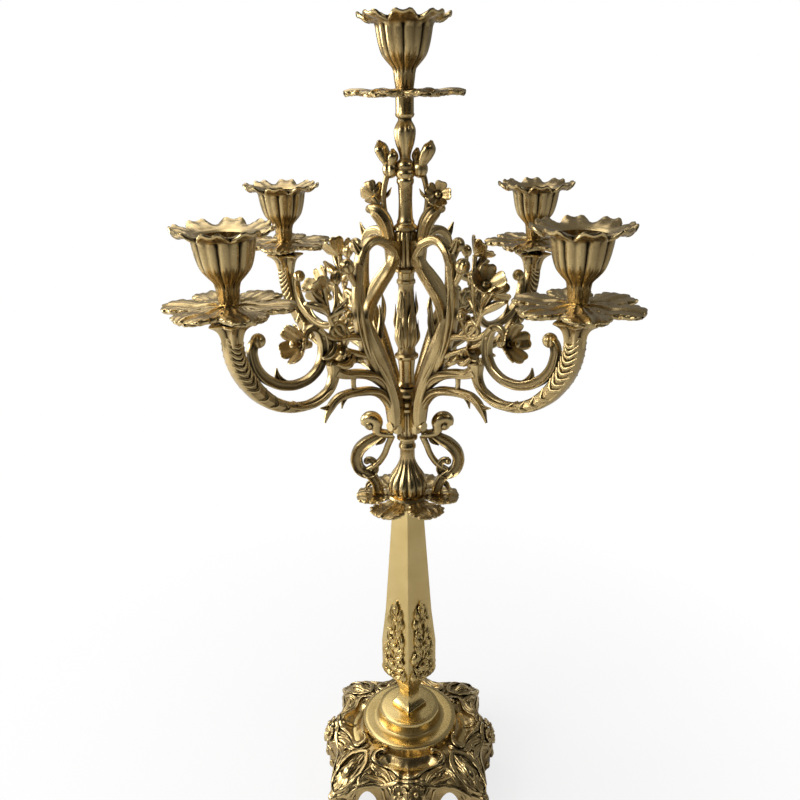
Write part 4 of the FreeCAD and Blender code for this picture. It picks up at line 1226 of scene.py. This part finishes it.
@dataclass
class SquareColumn:
    """The square column, corner to the front, with a flowered panel low on each face, and its knop."""

    foot: float = 17.7
    top: float = 9.9
    neck: float = 8.0
    knop: float = 12.0
    sheet_low: float = 78.0
    sheet_high: float = 141.5
    sheet_rows: float = 60.0

    @staticmethod
    def square(sections: Sequence[Place], edge: float) -> Piece:
        """A solid through squares given as (half diagonal, z), with its long edges eased.

        Args:
            sections: The squares from the bottom up.
            edge: How far the long edges are eased.

        Returns:
            The solid.
        """
        half, z = sections[0]
        piece = Bench.start("circle", vertices=4, radius=half, fill_type="NGON")
        Bench.move(z=z)
        for (r0, z0), (r1, z1) in zip(sections, sections[1:]):
            Bench.extrude(z=z1 - z0)
            Bench.resize(r1 / r0, r1 / r0, 1, (0, 0, z1))
        Bench.close(piece)
        Bench.edit(piece)
        bpy.ops.mesh.select_mode(type="EDGE")
        mesh = bmesh.from_edit_mesh(piece.data)
        for item in mesh.edges:
            a, b = item.verts
            item.select_set(abs(a.co.z - b.co.z) > 0.01)
        bmesh.update_edit_mesh(piece.data)
        bpy.ops.mesh.bevel(offset=edge, segments=3)
        Bench.clear()
        return piece

    def half_diagonal(self, z: float) -> float:
        """The column's half diagonal at a level."""
        return table(self.outline(), z)

    def outline(self) -> list[tuple[float, float]]:
        """Rows of (level, half diagonal) of the column."""
        z = foot_of("column")
        top = top_of("column")
        return [(z, self.neck), (z + 2, self.neck * 1.05), (z + 4, self.neck * 1.25), (z + 6, 12.2),
                (z + 8, 14.6), (z + 10.5, 16.6), (z + 13, self.foot), (z + 36, self.foot), (z + 60, 14.9),
                (top - 8, self.top + 0.1), (top - 0.05, self.top)]

    def panel(self) -> list[Piece]:
        """The relief of one face, drawn flat: x across, z up from 0 to 60, and -y out of the face."""

        def leaf(points: Sequence[Place], widths: Sequence[float]) -> Piece:
            """A leaf lying on the sheet."""
            return Strand(points, widths, Section.LOBE, 1.5, -0.3, 4).build()

        def stem(points: Sequence[Place], width: float) -> Piece:
            """A stalk lying on the sheet."""
            return Strand(points, (width,), Section.ROUND, 1.0, -0.35, 4).build()

        def flower(x: float, z: float, radius: float) -> Piece:
            """A flower facing out of the sheet."""
            made = Blossom(radius, 5, 12, 0.36).build()
            return Bench.place(made, translation(x, -0.7, z) @ rotation(90, "X"))

        pieces = [
            stem([(0, 2), (-1.5, 12), (1.5, 24), (-1.2, 37), (0.4, 50)], 0.7),
            stem([(0.6, 8), (4, 13), (6, 17)], 0.55), stem([(-0.6, 10), (-4, 16), (-6, 22)], 0.55),
            stem([(1.2, 24), (4, 29), (5.4, 33)], 0.5), stem([(-1, 33), (-3.6, 37), (-4.6, 41)], 0.5),
        ]
        leaf_lines = (
            ((0, 2), (-3.2, 5), (-7, 7)), ((0, 2), (3.2, 4.6), (7.2, 8)), ((1, 16), (4, 19), (7.4, 22.5)),
            ((-1, 19), (-4, 24), (-7, 29)), ((1, 30), (3.6, 35.5), (5.6, 41)),
            ((-1, 38), (-3, 43), (-3.4, 48)), ((0.5, 46), (0.8, 52), (0, 58)), ((8, 3), (9, 7), (8.8, 12)),
            ((-8, 3), (-9.2, 7), (-9, 12)), ((7, 27), (7.2, 32), (6, 37)),
            ((-7.6, 15), (-8.6, 20), (-7.8, 25)), ((2, 21), (5.6, 24.5), (8, 28.5)),
            ((-2, 8), (-5.4, 11), (-8, 14.5)), ((-2, 27), (-5.2, 31), (-6.6, 36)),
            ((2.4, 36), (3.8, 42), (3.2, 47.5)), ((1, 6), (5, 11), (8.4, 13)),
            ((-1, 46), (-4.6, 49), (-4.8, 54)), ((1, 46), (4.8, 48.6), (4.9, 53.6)),
            ((5, 40), (6.6, 43), (6.2, 48)), ((-4.6, 40), (-6.6, 43.5), (-6, 48)),
        )
        pieces += [leaf(line, (0.7, 2.0, 0.5)) for line in leaf_lines]
        pieces += [flower(x, z, radius) for x, z, radius in (
            (-0.5, 13.5, 4.1), (5.6, 17.8, 3.2), (-5.4, 22, 3.6), (1.4, 28, 4.0), (4.8, 35, 2.8),
            (-3.4, 37.4, 3.2), (1.0, 45, 2.6), (-6.4, 7, 2.7), (6.4, 7.6, 2.8), (0, 5, 2.8), (0, 53, 3.2))]
        pieces += [Bud((x, -0.8, z), radius, 1.2, 5).build() for x, z, radius in (
            (-1.6, 6, 1.3), (2.8, 11, 1.2), (-7.2, 17, 1.2), (7.6, 23.4, 1.1), (-2.6, 31, 1.3),
            (2.4, 38.6, 1.1), (-1, 50, 1.0), (-4.8, 28, 1.1), (4.4, 26, 1.0))]
        return pieces

    def on_face(self, piece: Piece, azimuth: float) -> Piece:
        """Lays the flat relief on one face, drawn in where the face narrows."""
        turn = rotation(azimuth + 90, "Z")
        for vertex in piece.data.vertices:
            level = self.sheet_low + vertex.co.z * (self.sheet_high - self.sheet_low) / self.sheet_rows
            half = self.half_diagonal(level)
            narrowing = half / self.foot
            across = vertex.co.x * narrowing
            vertex.co = turn @ Vector((across, -(half / math.sqrt(2)) + vertex.co.y * 1.25, level))
        return piece

    def build(self, shop: Workshop) -> None:
        """Makes the column with its four panels, and the knop below it."""
        body = self.square([(half, z) for z, half in self.outline()], 0.45)
        panel = Bench.join(self.panel())
        faces = [self.on_face(Bench.copy(panel), azimuth) for azimuth in DIAGONALS]
        bpy.data.objects.remove(panel)
        column = Bench.join([body, *faces])
        shop.send(column, "square_column", "column", Finish.POLISHED, crisp=30)
        z, top = foot_of("foot_knop"), top_of("foot_knop")
        height = top - z
        sections = [(self.knop * share, z + height * level) for share, level in (
            (0.95, 0.003), (1.0, 0.03), (1.0, 0.12), (0.97, 0.16), (0.88, 0.22), (0.77, 0.31), (0.68, 0.43),
            (0.62, 0.58), (0.6, 0.74), (0.62, 0.88), (0.667, 0.997))]
        shop.send(self.square(sections, 1.5), "ogee_knop", "foot_knop", Finish.POLISHED, crisp=30)


def from_middle(azimuth: float) -> float:
    """How many degrees an azimuth is from the middle of the nearest side of the base: 0 to 45."""
    return abs((azimuth + 45) % 90 - 45)


@dataclass
class FootedBase:
    """The footed base: a square casting with a shell on each side, scrolled corners and arched skirts."""

    plinth: float = 32.0
    corner: float = 67.2
    shell: float = 56.6
    height: float = 36.0
    arch_top: float = 23.5
    arch_at: float = 27.6
    arch_half: float = 7.8
    arch_limit: float = 25.4
    skirt_gap: float = 3.5
    half_side: float = 50.0
    turn_level: float = 25.6
    step_height: float = 7.1
    wall: float = 2.6
    turn_at: int = 34
    edge_at: int = 50
    clearance: float = 0.05
    azimuth_steps: int = 360

    def reach(self, azimuth: float) -> float:
        """The outline's radius at an azimuth."""
        away = from_middle(azimuth)
        rows = ((0, self.shell), (6, self.shell - 0.6), (11, 54.0), (15, 51.6), (19, 50.6), (24, 51.8),
                (30, 55.6), (35, 59.6), (39, 63.2), (42, 66.0), (45, self.corner))
        return table(rows, away)

    def edge_level(self, azimuth: float) -> float:
        """How high the skirt's lower edge is: on the floor at the corners, arched between."""
        away = from_middle(azimuth)
        along = self.half_side * math.tan(math.radians(away))
        off = abs(along - self.arch_at) / self.arch_half
        middle = self.skirt_gap if along < self.arch_at else 0.0
        if off < 1:
            return max(middle, self.arch_top * math.sqrt(1 - off * off))
        return middle

    def spot(self, azimuth: float, fall: float, out: float = 0.0) -> Vector:
        """A point on the base's skin.

        Args:
            azimuth: Where it is round the stem, in degrees.
            fall: How far down the skin: 0 at the plinth, 50 at the lower edge.
            out: How far it stands off the skin.

        Returns:
            The point.
        """
        level = table(((0, 36), (8, 35.4), (16, 34), (24, 31.6), (30, 28.6), (34, 25.6)), fall)
        share = table(((-4, -0.08), (0, 0), (8, 0.2), (16, 0.46), (24, 0.74), (30, 0.9), (34, 0.975)), fall)
        if fall > self.turn_at:
            low = min(self.edge_level(azimuth), self.arch_limit)
            level = blend(self.turn_level, low, (fall - self.turn_at) / (self.edge_at - self.turn_at))
            share = table(((0, 0.985), (8, 0.97), (16, 0.985), (22, 1.0), (25.6, 0.975)), level)
        away = from_middle(azimuth)
        level -= 4.2 * table(((20, 1), (28, 0)), away) * math.exp(-((fall - 9) / 6) ** 2)
        level -= table(((33, 0), (45, 6.2)), away) * table(((8, 0), (24, 1), (32, 1), (42, 0)), fall)
        reach = blend(self.plinth, self.reach(azimuth), share)
        tilt = math.radians(table(((0, 80), (16, 70), (24, 55), (30, 35), (34, 12), (50, 0)), fall))
        return polar(reach + out * math.cos(tilt), azimuth, level + out * math.sin(tilt))

    def swell(self, azimuth: float, fall: float) -> float:
        """The soft relief of the ground: lobes of the shells, ribs of the corners and hollows between."""
        away = from_middle(azimuth)
        shell = math.exp(-(away / 9) ** 2) * math.exp(-((fall - 18) / 9) ** 2)
        ribs = math.cos(math.radians(away * 40)) * 0.9
        corner = math.exp(-((45 - away) / 7) ** 2) * math.exp(-((fall - 28) / 14) ** 2)
        groove = math.exp(-((away - 24) / 6) ** 2) * math.exp(-((fall - 20) / 9) ** 2)
        lobes = shell * (0.8 + ribs)
        scrolls = corner * (1.6 + 0.7 * math.cos(math.radians(fall * 60)))
        return lobes + scrolls - 1.2 * groove

    def ground(self) -> Piece:
        """The base's wall, from the rod's hole out to the lower edge."""
        rows = []
        for radius in (2.7, 12, 24, 30):
            rows.append([polar(radius, 360 * step / self.azimuth_steps, self.height - 0.02)
                         for step in range(self.azimuth_steps)])
        for fall in range(self.edge_at + 1):
            row = []
            for step in range(self.azimuth_steps):
                azimuth = 360 * step / self.azimuth_steps
                row.append(self.spot(azimuth, fall, self.swell(azimuth, fall) * min(1, fall / 6)))
            rows.append(row)
        count = self.azimuth_steps
        vertices = [tuple(spot) for row in rows for spot in row]
        faces = []
        for index in range(len(rows) - 1):
            for step in range(count):
                following = (step + 1) % count
                faces.append((index * count + step, (index + 1) * count + step,
                              (index + 1) * count + following, index * count + following))
        mesh = bpy.data.meshes.new("ground")
        mesh.from_pydata(vertices, [], faces)
        piece = bpy.data.objects.new("ground", mesh)
        bpy.context.scene.collection.objects.link(piece)
        Bench.edit(piece)
        bpy.ops.mesh.select_all(action="SELECT")
        bpy.ops.mesh.normals_make_consistent(inside=False)
        Bench.clear()
        Bench.modify(piece, "SOLIDIFY", thickness=self.wall, offset=-1)
        return piece

    def ornament(self) -> Piece:
        """The raised work of half a side, drawn flat: x degrees from the side's middle, z down the skin."""
        strap = Section.CHANNEL
        strands = [
            Strand([(27, -3.2, 0.5), (31.5, -2.4, 1.5), (35, -1.6, 5), (34, -1.2, 10), (28, -1, 13.5),
                    (20, -1, 15), (12, -1, 16.5), (6, -0.8, 18.6), (0, -0.6, 19.4)],
                   (2.2, 1.7, 1.8, 1.9, 1.8, 1.7, 1.6, 1.5, 1.2), strap, 1.3),
            Strand([(0, -0.8, 22), (7, -0.8, 22.8), (12.5, -0.8, 27), (19, -0.8, 31.5), (27, -0.8, 31.5),
                    (34, -0.8, 33), (38, -0.6, 36)], (1.2, 1.4, 1.5, 1.5, 1.4, 1.3, 0.9), strap, 1.3),
            Strand([(45, -1.2, 8), (40.5, -1.2, 11), (37, -1.2, 17), (37.5, -1.2, 25), (41, -1.2, 31),
                    (45, -1, 33)], (1.0, 1.4, 1.6, 1.6, 1.4, 0.9), strap, 1.3),
            Strand([(19, 0, 35), (17.5, 0, 39), (16.5, 0, 44), (17, 0, 49)],
                   (1.1, 1.2, 1.2, 0.9), Section.ROUND, 1.1),
            Strand([(19, 0, 35), (23, 0, 31.8), (29.5, 0, 31.4), (34, 0, 34.2), (36, 0, 40), (37.5, 0, 48)],
                   (1.1, 1.0, 1.0, 1.0, 1.1, 1.1), Section.ROUND, 1.1),
            Strand([(x, -0.4, z) for x, z in curl((41, 41), (5.4, 0.8), 200, -520, 10)],
                   (1.5, 1.4, 1.3, 1.2, 1.1, 1.0, 0.9, 0.9, 1.0, 1.3), Section.ROUND, 1.2),
            Strand([(x, -0.8, z) for x, z in curl((23, 22), (4.6, 0.7), 150, 480, 9)],
                   (1.2, 1.2, 1.1, 1.0, 0.9, 0.9, 0.8, 0.8, 1.2), Section.ROUND, 1.2),
        ]
        leaves = [
            ([(10.5, 30), (15, 25), (22, 20.5), (30, 17), (36, 11)], (1.0, 3.0, 3.4, 2.4, 0.6)),
            ([(9.5, 37), (13, 33), (19, 29.5), (27, 26.5), (35, 23)], (1.0, 2.6, 3.0, 2.3, 0.6)),
            ([(1, 37.5), (5, 39), (10, 39.5), (14, 42)], (0.8, 2.0, 2.0, 0.6)),
            ([(45, 37), (45, 30), (45, 21), (45, 12), (45, 5)], (1.0, 2.4, 3.0, 2.6, 1.0)),
            ([(0, 19), (0, 15.5), (0, 12), (0, 8)], (0.8, 2.0, 2.2, 0.9)),
            ([(8, 25), (12, 21), (17, 18.5)], (0.8, 2.4, 1.0)),
            ([(38, 34), (40.5, 28), (41.5, 20), (40, 13)], (0.8, 2.2, 2.2, 0.6)),
            ([(34, 30), (34.6, 25), (33, 20), (30, 17)], (0.8, 2.4, 2.4, 0.6)),
            ([(36, 13), (38.5, 8), (39.5, 3), (39, 0.6)], (0.8, 2.2, 2.2, 1.0)),
            ([(38, 36), (36.5, 41), (37, 47)], (0.8, 1.8, 0.6)),
            ([(13.5, 45), (11, 41), (9, 36.5)], (0.8, 1.8, 0.6)),
            ([(28, 27), (31, 30), (35.5, 31.5)], (0.8, 1.7, 0.6)),
        ]
        pieces = [strand.build() for strand in strands]
        pieces += [Strand(line, widths, Section.LOBE, 1.25).build() for line, widths in leaves]
        for x, z, radius in ((5.2, 30.4, 4.9), (16, 21, 2.0), (33.5, 8, 2.4)):
            flower = Blossom(radius, 6, 18, 0.36).build()
            pieces.append(Bench.place(flower, translation(x, -0.3 * radius, z) @ rotation(90, "X")))
        for x, y, z, radius in ((27, -3.4, 0.8, 2.7), (0, -1.0, 25.4, 1.6), (0, -1.0, 35.6, 1.5),
                                (45, -0.6, 36, 2.6), (23, -1, 22, 1.5), (0.8, -0.5, 45.8, 2.1),
                                (10.8, -0.5, 46.8, 1.9), (41, -0.6, 41, 1.7), (30.5, -0.8, 22, 1.4),
                                (11, -0.8, 22.5, 1.4)):
            pieces.append(Bud((x, y, z), radius, 1.1, 5).build())
        return Bench.join(pieces)

    def wrap(self, piece: Piece, side: int, hand: int) -> Piece:
        """Lays the flat ornament on the skin.

        Args:
            piece: The ornament, which is used up.
            side: Which of the four sides, from 0.
            hand: 1 or -1, for the two halves of a side.

        Returns:
            The same piece, in place.
        """
        for vertex in piece.data.vertices:
            flat = vertex.co
            azimuth = 90 * side + hand * min(flat.x, 47)
            fall = min(max(flat.z, -2), 49.5)
            ground = self.swell(azimuth, fall) * min(1, max(fall, 0) / 6)
            vertex.co = self.spot(azimuth, fall, ground - flat.y)
        if hand > 0:
            piece.data.flip_normals()
        return piece

    def feet(self) -> list[Piece]:
        """The scroll feet under the four corners."""
        strands = [
            Strand([(49, 30), (56, 27), (62.5, 20.5), (65.6, 12.5), (64.5, 5.8), (59.6, 3.3), (55.4, 6.0),
                    (57, 10.2), (60.6, 9.6)],
                   (2.2, 2.8, 3.0, 2.9, 2.8, 2.6, 2.3, 2.0, 1.6), Section.CHANNEL, 2.3),
            Strand([(46, 33.5), (52, 32.5), (57, 28.5), (60.5, 24)],
                   (1.2, 3.0, 2.8, 0.5), Section.LOBE, 1.6),
        ]
        foot = Bench.join([strand.build() for strand in strands]
                          + [Bud((59.4, 0, 7.4), 2.9, 1.0, 6).build()])
        feet = [Bench.copy(foot, about_z(azimuth)) for azimuth in DIAGONALS]
        bpy.data.objects.remove(foot)
        return feet

    def build(self, shop: Workshop) -> None:
        """Makes the base and the stepped plinth on it."""
        ornament = self.ornament()
        relief = []
        for side in range(4):
            for hand in (1, -1):
                relief.append(self.wrap(Bench.copy(ornament), side, hand))
        bpy.data.objects.remove(ornament)
        casting = Bench.join([self.ground(), *relief, *self.feet()])
        for vertex in casting.data.vertices:
            vertex.co.z = max(vertex.co.z, self.clearance)
        shop.send(casting, "footed_base", "base_casting", Finish.CAST, crisp=50)
        z, top = foot_of("stepped_plinth"), top_of("stepped_plinth")
        step = z + self.step_height
        profile = [(ROD_HOLE, z), (ROD_HOLE, z - 0.1), (28, z - 0.1), (28, z - 5.6), (38.4, z - 5.4),
                   *smooth([(38.4, z - 4.6), (35, z - 4.0), (32.8, z - 2.4), (31.7, z)], 3),
                   (31.5, z + 0.8), (31.5, step - 2.0), (31.2, step - 0.8), (30.2, step - 0.1),
                   (28.5, step),
                   *smooth([(24, step - 0.5), (21.5, step - 0.2), (20.6, step + 1.4), (20.2, step + 4),
                            (20.2, top - 1.8)], 3),
                   (19.7, top - 0.6), (18.6, top - 0.1), (17, top), (ROD_HOLE, top), (ROD_HOLE, z)]
        shop.send(turned_piece(profile, 96), "stepped_plinth_turned", "stepped_plinth", Finish.POLISHED)


@dataclass
class LowerDish:
    """The leaf dish between the column and the bell collar."""

    hub: float = 12.0

    def build(self, shop: Workshop) -> None:
        """Makes the dish."""
        z, top = foot_of("leaf_dish"), top_of("leaf_dish")
        plate = LeafPlate(hub=self.hub, thickness=1.8, droop=2.0).build(0)
        Bench.place(plate, translation(0, 0, top - 3.4))
        boss = turned_piece([(ROD_HOLE, z), (9.6, z), (10.4, z + 1.5), (11.4, z + 4), (12.4, top - 1.6),
                             (11.8, top - 0.05), (ROD_HOLE, top - 0.05), (ROD_HOLE, z)], 48)
        shop.send(Bench.join([plate, boss]), "leaf_dish_cast", "leaf_dish")


@dataclass
class Studio:
    """The pale floor, the light and the camera."""

    place: tuple[float, float, float] = (9.68, -438.83, 444.79)
    heading: float = 1.789
    pitch: float = 21.397
    roll: float = 0.634
    lens: float = 36.598
    lamps: tuple[tuple[tuple[float, float, float], float, float], ...] = field(default=(
        ((-1.1, -0.8, 1.0), 0.65, 10.0),
        ((1.1, -0.6, 1.2), 0.35, 1.2),
        ((-0.6, 0.3, 1.6), 0.8, 4.8),
        ((-0.4, 1.1, 1.5), 0.8, 3.2),
        ((-0.95, 0.1, 0.4), 0.45, 5.4),
    ))

    def floor(self) -> None:
        """Lays the floor."""
        piece = Bench.start("plane", size=8)
        bpy.ops.mesh.subdivide(number_cuts=3)
        Bench.clear()
        piece.name = "studio_floor"
        paint = Paint(bpy.data.materials.new("studio_paper"))
        camera = paint.node("ShaderNodeLightPath", {}, {}, "Is Camera Ray")
        place = paint.node("ShaderNodeTexCoord", {}, {}, "Object")
        away = paint.node("ShaderNodeVectorMath", {"operation": "LENGTH"}, {0: place}, "Value")
        matt = paint.node("ShaderNodeBsdfDiffuse", {}, {"Color": (0.82, 0.82, 0.82, 1)})
        glow = paint.node("ShaderNodeEmission", {}, {"Color": (1, 1, 1, 1), "Strength": 1.0})
        seen = camera * (away.spread(0.06, 0.35) * 0.2 + 0.8)
        piece.data.materials.append(paint.end(paint.node("ShaderNodeMixShader", {},
                                                         {0: seen, 1: matt, 2: glow})))

    def world(self) -> None:
        """Sets the surroundings: a white backdrop and a dimmer room in front."""
        world = bpy.data.worlds.new("studio")
        bpy.context.scene.world = world
        paint = Paint(world)
        way = paint.node("ShaderNodeTexCoord", {}, {}, "Generated")
        split = paint.node("ShaderNodeSeparateXYZ", {}, {"Vector": way}, "Y")
        camera = paint.node("ShaderNodeLightPath", {}, {}, "Is Camera Ray")
        behind = split.spread(-0.25, 0.3)
        left = (paint.node("ShaderNodeSeparateXYZ", {}, {"Vector": way}, "X") * -1).spread(0.1, 0.8)
        level = (camera + behind * 0.19 + left * 0.38 + 0.02).clamp()
        paint.end(paint.node("ShaderNodeBackground", {}, {"Color": (1, 1, 1, 1), "Strength": level}))

    def lights(self) -> None:
        """Hangs the soft lamps, all turned to the middle of the object."""
        for index, (spot, size, power) in enumerate(self.lamps):
            lamp = bpy.data.lights.new(f"softbox_{index}", "AREA")
            lamp.size = size
            lamp.energy = power
            holder = bpy.data.objects.new(lamp.name, lamp)
            bpy.context.scene.collection.objects.link(holder)
            holder.location = spot
            aim = Vector((0, 0, 0.25)) - Vector(spot)
            holder.rotation_euler = aim.to_track_quat("-Z", "Y").to_euler()

    def camera(self) -> None:
        """Sets the camera up."""
        heading, pitch, roll = (math.radians(value) for value in (self.heading, self.pitch, self.roll))
        level = Vector((-math.sin(heading), math.cos(heading), 0))
        right = Vector((math.cos(heading), math.sin(heading), 0))
        ahead = level * math.cos(pitch) - Vector((0, 0, math.sin(pitch)))
        up = right.cross(ahead)
        rolled_right = right * math.cos(roll) - up * math.sin(roll)
        rolled_up = right * math.sin(roll) + up * math.cos(roll)
        data = bpy.data.cameras.new("camera")
        data.lens = self.lens
        data.sensor_width = 36
        data.clip_start, data.clip_end = 0.01, 50
        camera = bpy.data.objects.new("camera", data)
        bpy.context.scene.collection.objects.link(camera)
        matrix = Matrix((rolled_right, rolled_up, -ahead)).transposed().to_4x4()
        matrix.translation = Vector(self.place) * MM
        camera.matrix_world = matrix
        bpy.context.scene.camera = camera

    def build(self) -> None:
        """Sets up the whole studio."""
        bpy.context.scene.view_settings.view_transform = "Standard"
        self.floor()
        self.world()
        self.lights()
        self.camera()


def main() -> None:
    """Builds the candelabra and its studio."""
    logging.basicConfig(level=logging.INFO, format="%(name)s: %(message)s")
    Bench.clear()
    shop = Workshop()
    for assembly in (FootedBase(), SquareColumn(), LowerDish(), Stem(), Arm(), UpperBranches(),
                     ScrollBrackets(), CandleSets()):
        assembly.build(shop)
        LOG.info("%s done", type(assembly).__name__)
    Studio().build()


if __name__ == "__main__":
    main()
